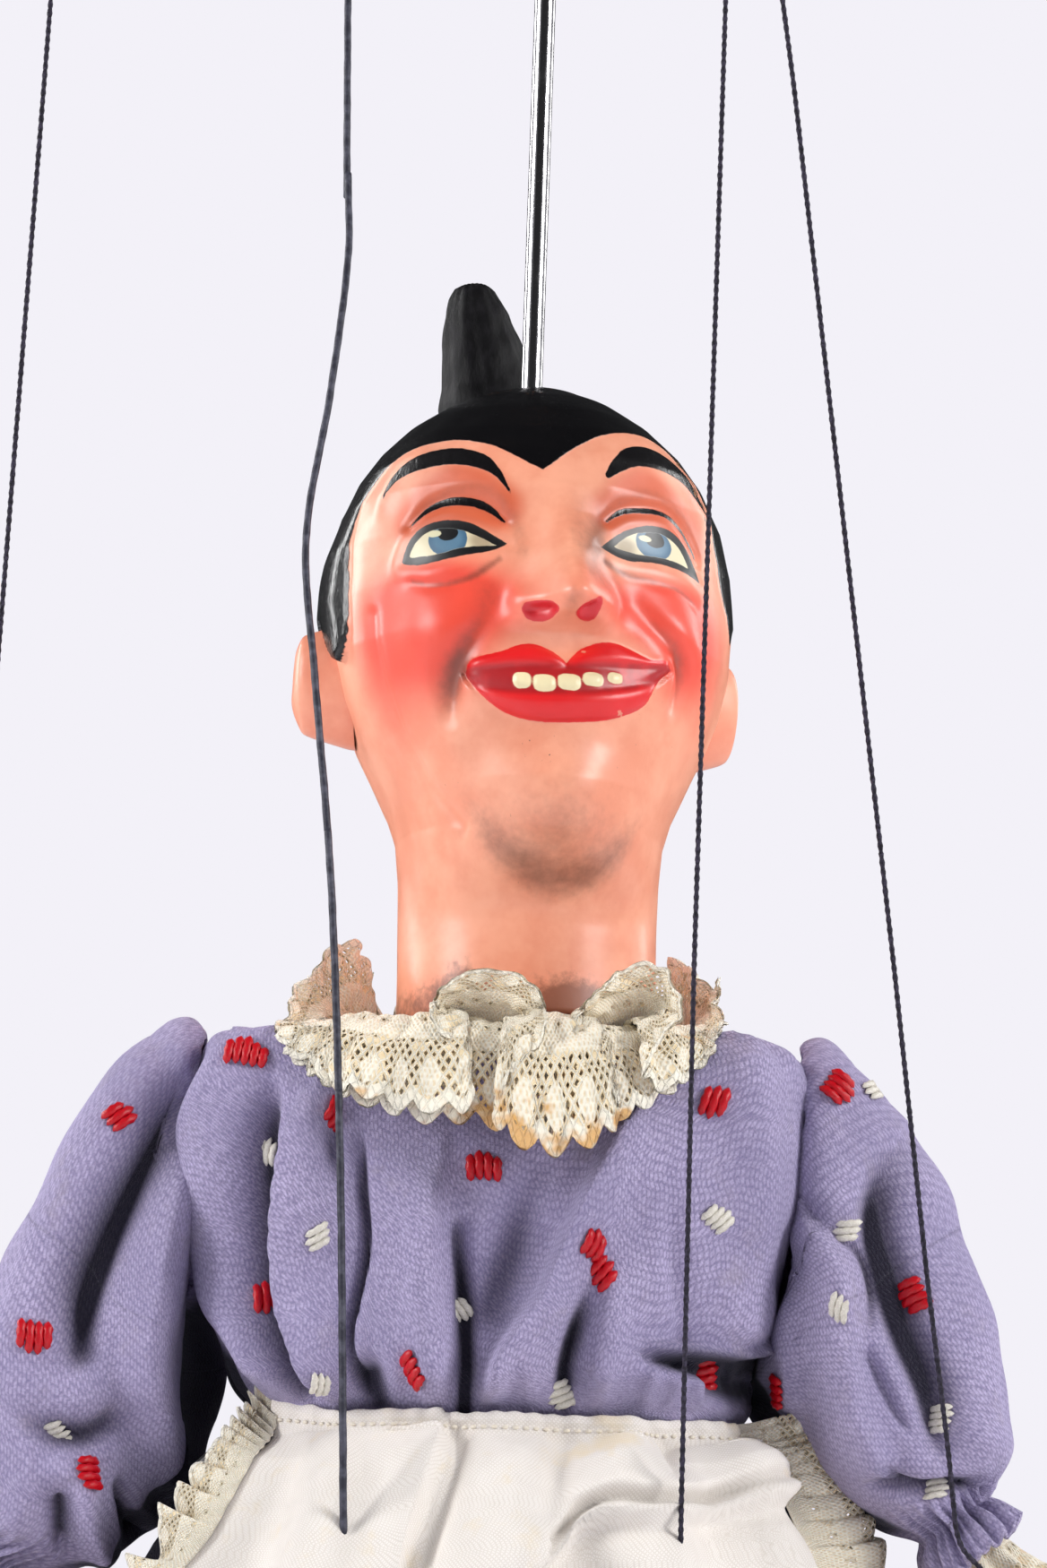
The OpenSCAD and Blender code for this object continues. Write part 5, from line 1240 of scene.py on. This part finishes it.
def make_sleeve(side):
    """A sleeve in two pieces: the upper at the shoulder and the lower at the elbow."""
    rows = spline(SLEEVE_ROWS, 17)[:, None]
    s = SIDE[side]
    a = s * turn(220) + math.pi / 2
    i = down(len(rows))
    at = i * (len(SLEEVE_ROWS) - 1)
    x, z = sleeve_base(side, rows, at, a)
    y = -7.6 * i + rows[..., 4] * np.sign(np.sin(a)) * np.abs(np.sin(a)) ** 0.88
    base = np.stack([x, y, CROWN_Z - HEAD_H + z], -1)
    out = normals_of(base, True)
    # The folds, with painted shade down in them.
    height, deep = folds_seen(base, out, SLEEVE_FOLDS[side], 1.5)
    # Painted shade on the sleeve's inner side behind the arm.
    inner = smooth((0.5 - 0.5 * np.cos(a) - 0.55) / 0.25)
    deep += inner * smooth((np.sin(a) + 0.25) / 0.3) * smooth((at - 2) / 1.5) * (1 - smooth((at - 8) / 1))
    behind = smooth((out[..., 1] + 0.1) / 0.6)
    height += behind * (1.0 * np.cos(7 * a + 8 * i) + 0.4 * np.cos(12 * a + 3))
    gathers = np.cos(24 * a + 2 * np.sin(3 * a)) * 0.3 + np.cos(17 * a) * 0.2
    height += gathers * (smooth((0.1 - i) / 0.1) * 1.4 + smooth((i - 0.68) / 0.14) * 2.4)
    height += 0.3 * ripple(base, 12, 31 + s)
    height *= smooth(i / 0.05) * 0.85 + 0.15
    points = raised(base, True, height)
    wide = distance_along(points, 1)
    high = -distance_along(points, 0).mean(axis=1)[:, None]
    uv = np.stack([wide - wide.mean(axis=1, keepdims=True), high + 0 * wide], -1)

    def on_arm(reach):
        splay = SPLAY[side]
        return tuple(np.array([s * (SHOULDER_X + reach * math.sin(splay)), 0,
                               SHOULDER_Z - reach * math.cos(splay)]) * MM)

    split = int(len(rows) * 0.44)
    arm, forearm = "arm_" + side, "forearm_" + side
    upper_bone, lower_bone = "upper_arm_" + side, "forearm_" + side
    made = []
    for part, cut_out, way, flat, bones in (
            ("upper", slice(0, split + 1), ("torso", arm, (s * 39.0 * MM, 0, -0.404), on_arm(22)),
             (0.112, 0.026), [upper_bone]),
            ("lower", slice(split, None), (arm, forearm, on_arm(29), on_arm(46)),
             (0.098, 0.05), [upper_bone, lower_bone])):
        obj = sheet_piece(f"sleeve_{side}_{part}", points[cut_out], TWILL, CLOTH_T, True, uv[cut_out],
                          deep[cut_out])
        bent(obj)
        made.append((obj, way))
    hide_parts("sleeve_" + side)
    return made


def skirt_point(t, a, out):
    """The skirt's surface at a share of its fall and an angle, that far out from the part's own."""
    rows = np.array(SKIRT_ROWS)
    at = t * SKIRT_DROP
    w, front, back, ease = (np.interp(at, -rows[:, 0], rows[:, k]) for k in (1, 2, 3, 4))
    k = 1 + (70.0 / 72 - 1) * t
    f = FOLD_D * ease * np.cos(12 * a + math.radians(25) * np.sin(2 * a)) + out
    x, y = oval(a, w * k + f, front * k + f, back * k + f, 2.15)
    return np.stack([x, y, WAIST_Z - WAIST_STEP - at * SKIRT_FALL + 0 * x], -1)


def make_skirt():
    t = down(110) ** 0.9
    a = turn(384) - math.pi
    points = skirt_point(t, a, 0)
    x, y = points[..., 0], points[..., 1]
    # Painted shade at the sides just below the waist.
    deep = smooth((0.36 - t) / 0.12) * smooth((np.abs(x) - 26) / 6) * smooth((10 - y) / 10)
    height = 0.35 * ripple(points, 16, 41) + 0.7 * smooth((t - 0.955) / 0.01) - 0.25
    height += 0.5 * np.cos(58 * a + 3 * np.sin(2 * a)) * smooth((0.12 - t) / 0.12)
    obj = sheet_piece("skirt_cloth", raised(points, True, height), TWILL, CLOTH_T, True, deep=deep)
    return worn(obj, "torso", "dress", "skirt", (0.42, 0.112), "torso")


# Stitched motifs


class Form(Finish):
    """A tree of Geometry Nodes as it is built, with its named inputs."""

    def __init__(self, name, inputs):
        self.tree = bpy.data.node_groups.new(name, "GeometryNodeTree")
        self.tree.interface.new_socket("Geometry", in_out="OUTPUT", socket_type="NodeSocketGeometry")
        self.keys = {}
        for key, kind in inputs.items():
            socket = self.tree.interface.new_socket(key, in_out="INPUT", socket_type="NodeSocket" + kind)
            self.keys[key] = socket.identifier
        self.group = self.tree.nodes.new("NodeGroupInput")

    def given(self, key):
        return Value(self, self.group.outputs[key])

    def vector(self, name):
        """A vector that each point carries under that name."""
        return self.node("GeometryNodeInputNamedAttribute", {"data_type": "FLOAT_VECTOR"}, {"Name": name})

    def result(self, last):
        out = self.tree.nodes.new("NodeGroupOutput")
        self.tree.links.new(last.socket, out.inputs["Geometry"])


def rounded_stitches():
    """Lays a rounded stitch at each point: along the vector run, a little flat and arched along out."""
    f = Form("rounded_stitches", {"Points": "Geometry", "Sides": "Int", "Rings": "Int", "Radius": "Float",
                                  "Plies": "Float", "Arch": "Float", "Cotton": "Material"})
    rod = f.node("GeometryNodeMeshCylinder", None, {
        "Vertices": f.given("Sides"), "Side Segments": f.given("Rings") - 1.0, "Radius": 1.0, "Depth": 1.0})
    x, y, z = f.split(f.node("GeometryNodeInputPosition"))
    t = 0.5 - z
    off_middle = (t * 2.0 - 1.0) * (t * 2.0 - 1.0)
    taper = (1.0 - off_middle * off_middle).most(0.02).math("SQRT")
    ply = abs((y.math("ARCTAN2", x) * 1.5 - t * 9.0).sine())
    r = f.given("Radius") * taper * (1.0 - f.given("Plies") * ply)
    lift = y * r * 0.75 + f.given("Arch") * (1.0 - off_middle)
    place = f.node("CombineXYZ", None, {0: x * r, 1: lift, 2: z})
    stitch = f.node("GeometryNodeSetPosition", None, {"Geometry": rod, "Position": place})
    run = f.vector("run")
    way = f.node("FunctionNodeAxesToRotation", {"primary_axis": "Z", "secondary_axis": "Y"},
                 {0: run, 1: f.vector("out")})
    length = f.node("VectorMath", {"operation": "LENGTH"}, {0: run}, out="Value")
    laid = f.node("GeometryNodeInstanceOnPoints", None, {
        "Points": f.given("Points"), "Instance": stitch, "Rotation": way,
        "Scale": f.node("CombineXYZ", None, {0: 1.0, 1: 1.0, 2: length})})
    real = f.node("GeometryNodeRealizeInstances", None, {0: laid})
    f.result(f.node("GeometryNodeSetMaterial", None, {"Geometry": real, "Material": f.given("Cotton")}))
    return f


STITCHES = rounded_stitches()


def stitched(name, rows, cotton, sides, rings, radius, plies=0.0, arch=0.0):
    """One mesh of stitches, from rows of each one's middle, run and outward direction in millimetres."""
    middles, runs, outs = (np.array(column) for column in zip(*rows, strict=True))
    obj = piece(name, middles, [], cotton)
    for key, vectors in (("run", runs * MM), ("out", outs)):
        attribute = obj.data.attributes.new(key, "FLOAT_VECTOR", "POINT")
        attribute.data.foreach_set("vector", vectors.astype(np.float32).ravel())
    form = obj.modifiers.new("stitches", "NODES")
    form.node_group = STITCHES.tree
    for key, value in (("Sides", sides), ("Rings", rings), ("Radius", radius * MM), ("Plies", plies),
                       ("Arch", arch * MM), ("Cotton", cotton)):
        form[STITCHES.keys[key]] = value
    done = bpy.data.meshes.new_from_object(obj.evaluated_get(bpy.context.evaluated_depsgraph_get()))
    obj.modifiers.clear()
    obj.data = done
    done.polygons.foreach_set("use_smooth", [True] * len(done.polygons))
    return obj


MOTIFS_RED = [
    (275, 1175, 80, 5), (132, 1247, 40, 3), (372, 1243, 55, 3), (540, 1303, 92, 4), (660, 1390, 60, 3),
    (672, 1422, 48, 3), (38, 1490, 88, 4), (296, 1447, 95, 3), (462, 1530, 62, 4), (785, 1535, 12, 4),
    (868, 1553, 30, 4), (797, 1229, 70, 3), (934, 1214, 145, 4), (1020, 1446, 20, 4), (100, 1645, 25, 4)]
MOTIFS_WHITE = [
    (355, 1380, 30, 3), (300, 1285, 80, 3), (512, 1462, 130, 3), (800, 1360, 40, 4), (626, 1556, 20, 4),
    (356, 1545, 80, 3), (62, 1598, 20, 4), (946, 1373, 5, 3), (937, 1460, 80, 3), (973, 1218, 50, 3),
    (1049, 1584, 5, 4), (1043, 1663, 10, 3)]


# Half the width of a stitch, by whether it is white
STITCH_R = {False: 0.74, True: 0.58}


def surface_of(obj):
    return BVHTree.FromObject(obj, bpy.context.evaluated_depsgraph_get())


def stitches(at, out, across, angle, count, white):
    """A few satin stitches side by side on the cloth at a place."""
    out = out / np.linalg.norm(out)
    across = across - out * (across @ out)
    across /= np.linalg.norm(across)
    g = math.radians(angle)
    run = across * math.cos(g) + np.cross(out, across) * math.sin(g)
    beside_it = np.cross(out, run)
    radius, length = STITCH_R[white], 4.0 if white else 4.4
    rows = []
    for i in range(count):
        from_middle = i - (count - 1) / 2
        half = run * length / 2 * (1 - 0.12 * abs(from_middle) + 0.07 * math.sin(7 * i + angle))
        centre = at + beside_it * from_middle * radius * 1.55 + run * 0.35 * math.sin(5 * i + angle)
        centre = centre + out * 0.04
        rows.append((centre, -2 * half, out))
    return rows


def seen_motifs(cloths):
    """The motifs of the photograph, on whichever cloth lies behind each."""
    found = {}
    trees = [(key, surface_of(obj)) for key, obj in cloths.items()]
    for white, places in ((False, MOTIFS_RED), (True, MOTIFS_WHITE)):
        for x, y, angle, count in places:
            hits = []
            for key, tree in trees:
                hit, normal, _, far = tree.ray_cast(Vector(cam_at * MM), Vector(sight_line(x, y)))
                if hit:
                    hits.append((far, key, np.array(hit) / MM, np.array(normal)))
            if hits:
                _, key, at, out = min(hits, key=lambda h: h[0])
                found.setdefault((key, white), []).extend(stitches(at, out, cam_right, angle, count, white))
    return found


def spread_motifs(obj, low, high, rows, first, behind_only):
    """More motifs round a cloth in staggered rows, where the photograph doesn't reach."""
    tree = surface_of(obj)
    found = {False: [], True: []}
    for i in range(rows):
        z = high + (low - high) * (i + 0.5) / rows
        count = first + 2 * i
        for j in range(count):
            a = 2 * math.pi * (j + 0.5 * (i % 2)) / count + 0.13 * math.sin(9 * j + i)
            if behind_only and math.cos(a) > -0.15:
                continue
            way = Vector((-math.sin(a), math.cos(a), 0))
            start = Vector((math.sin(a) * 0.12, -math.cos(a) * 0.12, (z + 2 * math.sin(5 * j)) * MM))
            hit, normal, _, _ = tree.ray_cast(start, way)
            if hit is None or normal.dot(way) > -0.35:
                continue
            white = (i + j) % 2 == 0
            across = np.array([math.cos(a), math.sin(a), 0.0])
            angle = (j * 53 + i * 31) % 180
            found[white] += stitches(np.array(hit) / MM, np.array(normal), across, angle, 4, white)
    return found


def make_motifs(bodice, skirt, sleeves):
    ways = {"bodice": None}
    cloths = {"bodice": bodice}
    for side, pieces in sleeves.items():
        for part, (obj, way) in zip(("upper", "lower"), pieces, strict=True):
            cloths[f"sleeve_{side}_{part}"] = obj
            ways[f"sleeve_{side}_{part}"] = way
    found = seen_motifs(cloths)
    for key, obj, low, high, rows, first, behind_only in (
            ("bodice", bodice, -450, -406, 3, 12, True),
            ("skirt", skirt, HEM_Z + 6, WAIST_Z - 14, 6, 18, False)):
        for white, parts in spread_motifs(obj, low, high, rows, first, behind_only).items():
            found.setdefault((key, white), []).extend(parts)
    for (key, white), parts in found.items():
        colour, cotton = ("white", WHITE_COTTON) if white else ("red", RED_COTTON)
        obj = stitched(f"stitches_{key}_{colour}", parts, cotton, 11, 11, STITCH_R[white], 0.3, 0.5)
        if ways.get(key):
            bent(obj)
        else:
            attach(obj, "torso")


# Apron

APRON_FOLDS = [
    ([(497, 1582), (494, 1630), (481, 1678), (465, 1722), (450, 1760)], 70, 3, 2.1),
    ([(512, 1590), (508, 1640), (494, 1690), (478, 1740)], 5, 12, -0.7),
    ([(352, 1600, 0.6), (356, 1680), (336, 1760)], 30, 60, 1.4),
    ([(404, 1600, 0.4), (400, 1660), (384, 1750)], 22, 16, -0.9),
    ([(604, 1744), (641, 1712), (686, 1699), (731, 1703), (799, 1690), (857, 1677),
      (895, 1680, 0.6)], 5, 60, 3.0),
    ([(604, 1728), (641, 1696), (686, 1682), (731, 1686), (799, 1673), (850, 1662, 0.6)], 14, 6, -2.0),
    ([(690, 1572, 0.6), (700, 1620), (690, 1660, 0.4)], 30, 20, 1.2),
    ([(725, 1590, 0.8), (742, 1620), (744, 1660, 0.6)], 7, 9, -1.0),
    ([(580, 1600, 0.4), (570, 1680), (540, 1760)], 50, 40, 1.0),
    ([(630, 1600, 0.5), (624, 1650), (606, 1700, 0.8)], 18, 14, -0.9),
    ([(800, 1600), (830, 1650)], 20, 20, 1.0),
]
APRON_STOPS = [(0, 0.18), (1, 0.6), (2, 1), (3, 2), (4, 3), (5, 4), (6, 4.62)]
APRON_SPARE = [(0, 1), (1, 4), (2, 8), (3, 14), (4, 17), (6, 18)]
APRON_LESS = [(0, 7), (1, 12), (2, 16), (3, 22), (4, 16), (6, 8)]


def apron_t(i):
    """The share of the skirt's fall at the apron's row i."""
    rows = np.array(SKIRT_ROWS)
    return np.interp(along(i, APRON_STOPS), range(7), -rows[:, 0]) / SKIRT_DROP


def apron_top(a):
    """How much the band of the apron stands above the waist."""
    return 1.4 + 0.25 * np.sin(3 * a + 1) + 2.0 * smooth((-a - 0.55) / 0.4) + 0.7 * smooth((a - 0.5) / 0.4)


def make_apron():
    rows = 150
    i = 6 * down(rows)
    j = np.linspace(-1, 1, 300)[None]
    a = np.radians(60 + along(i, APRON_SPARE) - along(i, APRON_LESS) * (j < 0)) * j
    points = skirt_point(apron_t(i) + 0 * a, a, APRON_OUT + 0.35 + 1.1 * smooth((0.8 - i) / 0.8))
    points[..., 2] += apron_top(a) * smooth((0.6 - i) / 0.6)
    out = normals_of(points, False)
    # The folds, with painted shade down in them, weaker on the linen.
    height, deep = folds_seen(points, out, APRON_FOLDS, 1.5)
    height *= 0.25 + 0.75 * smooth((i - 0.15) / 0.5)
    height += 0.9 * smooth((i - 0.5) / 3) * np.cos(9 * a + 1.2 + 0.4 * i) + 0.12 * ripple(points, 8, 51)
    height += 0.35 * smooth((0.24 - i) / 0.03) + 0.4 * smooth((i - 5.86) / 0.02)
    height += 0.12 * np.cos(70 * a + 4 * np.sin(5 * a)) * smooth((0.5 - i) / 0.5)
    points = raised(points, False, np.maximum(height, -0.5))
    obj = sheet_piece("apron_linen", points, LINEN, LINEN_T, deep=deep * 0.7)
    worn(obj, "torso", "linen", "apron", (0.118, 0.086), "skirt_cloth")
    seam = []
    line = even(points[int(rows * 0.29 / 6) + 1], 1.35)
    for before, here, after in zip(line[:-2], line[1:-1], line[2:], strict=True):
        way = (after - before) / np.linalg.norm(after - before) * 0.42
        outwards = np.array([here[0] * 0.8, here[1], 0])
        outwards /= np.linalg.norm(outwards)
        c = here + outwards * 0.16
        seam.append((c, -2 * way, outwards))
    running = stitched("apron_seam", seam, SEWING_COTTON, 8, 5, 0.25)
    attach(running, "torso")
    loop("apron_hole", [-18.4, -36.0, -470.4], 0.75, 0.25, 0.0, RED_COTTON, "torso")


def make_apron_lace(side):
    """Gathered lace along a side of the apron, in rows from the apron outwards."""
    s = SIDE[side]
    run, t = 6 * down(260).T, down(26)
    less = along(run, APRON_LESS) if side == "R" else 0
    share = along(run, [(0, 0.3), (3, 0.45), (6, 0.9)]) if side == "R" else 1.6
    wide = 18 * (1 - 0.12 * run / 6) * share
    a = np.radians(58.8 + along(run, APRON_SPARE) - less + wide * t) * s
    wave = np.cos(2 * math.pi * 3.0 * run + 1.4 * np.sin(2.3 * run)) * (0.25 + 0.75 * t)
    points = skirt_point(apron_t(run) + 0 * a, a, APRON_OUT + 0.5)
    out = normals_of(points, False) * -s
    points[..., 2] += 1.2 * smooth((0.6 - run) / 0.6) + t * 1.5 * np.cos(2 * math.pi * 3 * run + 0.7)
    if side == "L":
        points[..., 0] += 5.0 * t
        points[..., 1] -= 8.0 * t * smooth((5 - run) / 2)
    points += out * (1.1 + 1.5 * t * (1 + wave))[..., None]
    middle = 1.3 * distance_along(points, 1)[13]
    uv = np.stack([middle + 0 * a, (1 - t) * 13.0 + 0 * a], -1)
    obj = sheet_piece(f"apron_lace_strip_{side}", points, LACE_EDGE, LACE_T, False, uv)
    flat = (0.125, 0.022 if side == "L" else 0.01)
    return worn(obj, "torso", "lace", "apron_lace_" + side, flat, "skirt_cloth")


# The collar's outer edge as it shows: picture x and y, then its depth in the frame
COLLAR_EDGE = [
    (416, 1084, 9), (402, 1058, 6), (384, 1047, 3), (358, 1068, 0), (338, 1092, -3), (320, 1118, -6),
    (310, 1152, -10), (322, 1178, -17), (352, 1192, -24), (366, 1218, -29), (402, 1226, -32),
    (440, 1240, -34), (486, 1246, -35), (524, 1238, -35.5), (520, 1186, -33), (482, 1138, -30),
    (496, 1100, -28), (540, 1080, -28), (585, 1092, -29), (610, 1128, -31), (600, 1170, -34),
    (566, 1212, -35.5), (552, 1256, -36.5), (592, 1290, -37.5), (648, 1287, -37), (690, 1258, -35.5),
    (680, 1216, -34), (642, 1172, -31), (648, 1130, -29), (684, 1090, -27), (722, 1072, -25),
    (752, 1092, -26), (756, 1132, -29), (734, 1172, -32), (716, 1206, -33.5), (748, 1218, -31),
    (784, 1186, -24), (806, 1148, -16), (800, 1110, -9), (776, 1084, -2), (748, 1066, 5)]
COLLAR_UNDER = [
    (330, 1110, 4), (312, 1150, -6), (326, 1184, -15), (352, 1206, -21.5), (392, 1230, -28),
    (436, 1246, -31.5), (482, 1256, -33), (530, 1256, -33.5), (566, 1268, -34), (612, 1277, -35),
    (660, 1270, -34), (700, 1248, -32.5), (740, 1228, -29.5), (780, 1196, -23), (802, 1156, -15),
    (798, 1112, -5)]


def laid_over(under, points, share, clear):
    """The same points, but those that another cloth would hide come clear of it as they are seen."""
    tree = surface_of(under)
    out = points.copy()
    start = Vector(cam_at * MM)
    for k in np.ndindex(points.shape[:2]):
        if share[k] < 0.3 or points[k][1] > 8:
            continue
        way = points[k] - cam_at
        far = float(np.linalg.norm(way))
        hit, _, _, near = tree.ray_cast(start, Vector(way / far), (far + clear) * MM)
        if hit:
            moved = min(far + clear - near / MM, 16.0) * min(1.0, (share[k] - 0.3) / 0.25)
            out[k] = points[k] - way / far * moved
    return out


def collar_edge(outline):
    """The collar's outer edge: as it is seen in front, and in even waves behind."""
    front = np.array([seen_at(x, y, depth) for x, y, depth in outline])
    a_end = math.atan2(front[-1][0], -front[-1][1])
    a_start = math.atan2(front[0][0], -front[0][1]) + 2 * math.pi
    a = np.linspace(a_end, a_start, 27)[1:-1]
    k = np.arange(len(a)) * math.pi / 1.5
    r = 27.5 + 2.2 * np.cos(k + 1)
    back = np.stack([r * np.sin(a), -r * np.cos(a), -396.5 + 4.8 * np.cos(k)], -1)
    edge = np.concatenate([front, back])
    n = 12 * len(edge)
    return spline(np.concatenate([edge[-2:], edge, edge[:3]]).tolist(), 12)[24:24 + n + 1]


def make_collar(name, outline, rise):
    """Ruffled lace round the neck: from its gathered inner edge over to the free outer edge."""
    line = collar_edge(outline)
    edge = even(line, count=901)[:-1]
    share = np.arange(900) / 900
    at = share * distance_along(line, 0)[-1]
    angle = np.unwrap(np.arctan2(edge[:, 0], -edge[:, 1]))
    angle = 0.62 * angle + 0.38 * (angle[0] + share * 2 * math.pi)
    away = np.stack([np.sin(angle), -np.cos(angle), 0 * angle], -1)
    lean = HEAD_H * HEAD_LEAN
    inner = 21.3 * away + [lean * math.cos(HEAD_YAW), lean * math.sin(HEAD_YAW), -402.2]
    inner[:, 2] += 0.6 * np.sin(11 * angle)
    mid = inner + (edge - inner) * 0.8 + away * 0.6
    mid[:, 2] = np.where(edge[:, 2] > -401, -402.0 + 0.45 * (edge[:, 2] + 402), rise)
    waves = 0.5 * np.sin(at * (2 * math.pi / 9.5)) + 0.25 * np.sin(at * (2 * math.pi / 4.1) + 1)
    flat_t = down(40)[::-1]
    t = flat_t[..., None]
    points = (1 - t) ** 2 * inner + 2 * t * (1 - t) * mid + t**2 * edge
    crumple = 0.35 * ripple(points, 4.5, 61) + 0.18 * ripple(points, 2.2, 62)
    points = raised(points, True, crumple * smooth(flat_t * 3))
    points += (away * waves[:, None])[None] * t**1.5
    share = flat_t + 0 * at
    points = laid_over(bodice_cloth, points, share, 1.0 if rise > -400 else 0.6)
    uv = np.stack([at * 0.94 + 0 * share, 14.0 * (1 - share)], -1)
    obj = sheet_piece(name, points, LACE_EDGE, LACE_T, True, uv)
    upper = outline is COLLAR_EDGE
    node = "collar_lace" if upper else None
    return worn(obj, "torso", "lace", node, (0.27 if upper else 0.23, 0.017), "bodice_cloth")


def on_forearm(side, points):
    """Points along a forearm (z from the elbow) in the part's frame."""
    s, b = math.sin(-ELBOW_BEND), math.cos(ELBOW_BEND)
    x, y, z = points[..., 0], points[..., 1], points[..., 2]
    y, z = y * b - z * s, y * s + z * b
    z = z - UPPER_ARM
    g = -SIDE[side] * SPLAY[side]
    x, z = x * math.cos(g) + z * math.sin(g), -x * math.sin(g) + z * math.cos(g)
    return np.stack([x + SIDE[side] * SHOULDER_X, y, z + SHOULDER_Z], -1)


def make_cuff(side):
    higher = 8.0 if side == "L" else 0.0
    a, t = turn(360), down(34)
    wave = np.cos(9 * a + 1.2 * np.sin(2 * a)) * t
    r = WRIST_R + along(t, [(0, 1.2), (0.35, 3.4), (0.7, 7.0), (1, 9.8)]) + 1.5 * wave
    z = -FOREARM + 0.6 + higher * (1 - 0.7 * t) - 8.6 * t + 1.1 * wave + 0.5 * np.sin(18 * a) * t
    points = on_forearm(side, np.stack([r * np.sin(a), -r * np.cos(a), z + 0 * a], -1))
    points = raised(points, True, 0.2 * ripple(points, 3.0, 71) * t)
    uv = np.stack([a * 14.0 + 0 * t, 11.0 * (1 - t) + 0 * a], -1)
    obj = sheet_piece(f"cuff_{side}_ruffle", points, LACE_EDGE, LACE_T, True, uv)
    return worn(obj, "forearm_" + side, "lace", "cuff_" + side, (0.07, 0.0145), "forearm_" + side)


# Light and ground

# Lamps, as (name, place, size, power, whether gloss mirrors it), in metres
LIGHTS = [
    ("key", (1.14, -0.6, 0.12), (0.45, 0.55), 13.5, True),
    ("fill", (-1.16, -0.45, 0.02), (0.45, 0.6), 12.0, True),
    ("front", (0.1, -1.2, 0.2), (0.9, 0.6), 0.7, False),
    ("low", (0.1, -0.8, -0.9), (0.8, 0.5), 0.7, False),
    ("top", (-0.1, -0.4, 0.75), (0.6, 0.4), 2.6, False),
    ("rim_R", (-0.95, 0.55, 0.1), (0.2, 0.7), 6.0, True),
    ("rim_L", (0.95, 0.6, 0.1), (0.2, 0.7), 4.0, True),
]


def area_light(name, at, size, power, gloss):
    data = bpy.data.lights.new(name, "AREA")
    data.shape = "RECTANGLE"
    data.size, data.size_y = size
    data.energy = power
    lamp = bpy.data.objects.new(name, data)
    bpy.context.scene.collection.objects.link(lamp)
    lamp.visible_glossy = gloss
    lamp.location = Vector(at)
    lamp.rotation_mode = "QUATERNION"
    lamp.rotation_quaternion = (Vector((0, 0, -0.37)) - Vector(at)).to_track_quat("-Z", "Y")


def make_studio():
    world = bpy.data.worlds.new("studio")
    bpy.context.scene.world = world
    f = Finish("studio", world)
    seen = f.node("LightPath", out="Is Camera Ray").most(f.node("LightPath", out="Is Transmission Ray"))
    glossy = f.node("LightPath", out="Is Glossy Ray")
    x, y, z = f.split(f.node("TexCoord", out="Generated"))
    card = abs(x).step(0.5, 0.75) * (1.0 - y.step(0.1, 0.45)) * (1.0 - z.step(0.3, 0.6)) * 0.48 + 0.04
    strength = seen + glossy * (1.0 - seen) * card + (1.0 - seen) * (1.0 - glossy) * 0.3
    tone = f.mix((0.93, 0.95, 1.0), srgb(243, 241, 248), seen)
    f.end("World", f.node("Background", None, {"Color": tone, "Strength": strength}))
    f = Finish("floor")
    tone = f.mix(srgb(240, 239, 244), srgb(236, 235, 241), f.noise(400.0))
    ground = f.surface(srgb(238, 236, 243), Base_Color=tone, Roughness=0.8)
    corners = np.array([[-1, -1, 0], [1, -1, 0], [1, 1, 0], [-1, 1, 0]]) * 6000.0 + [0, 0, FLOOR_Z]
    piece("floor", corners, [[0, 1, 2, 3]], ground)
    for light in LIGHTS:
        area_light(*light)


make_camera()
bpy.context.scene.view_settings.view_transform = "Standard"
for string_name in ROUTES:
    make_string(string_name)
finish_nodes()
head = make_head()
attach(head, "control")
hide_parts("head")
for extra in (make_topknot(), make_ear("R"), make_ear("L")):
    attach(extra, "control")
bodice_cloth = make_bodice()
skirt_cloth = make_skirt()
sleeves = {side: make_sleeve(side) for side in "RL"}
make_motifs(bodice_cloth, skirt_cloth, sleeves)
make_apron()
make_collar("collar_lace_ruffle", COLLAR_EDGE, -399.6)
make_collar("collar_lace_under", COLLAR_UNDER, -401.4)
for side in "RL":
    make_apron_lace(side)
    make_cuff(side)
make_studio()
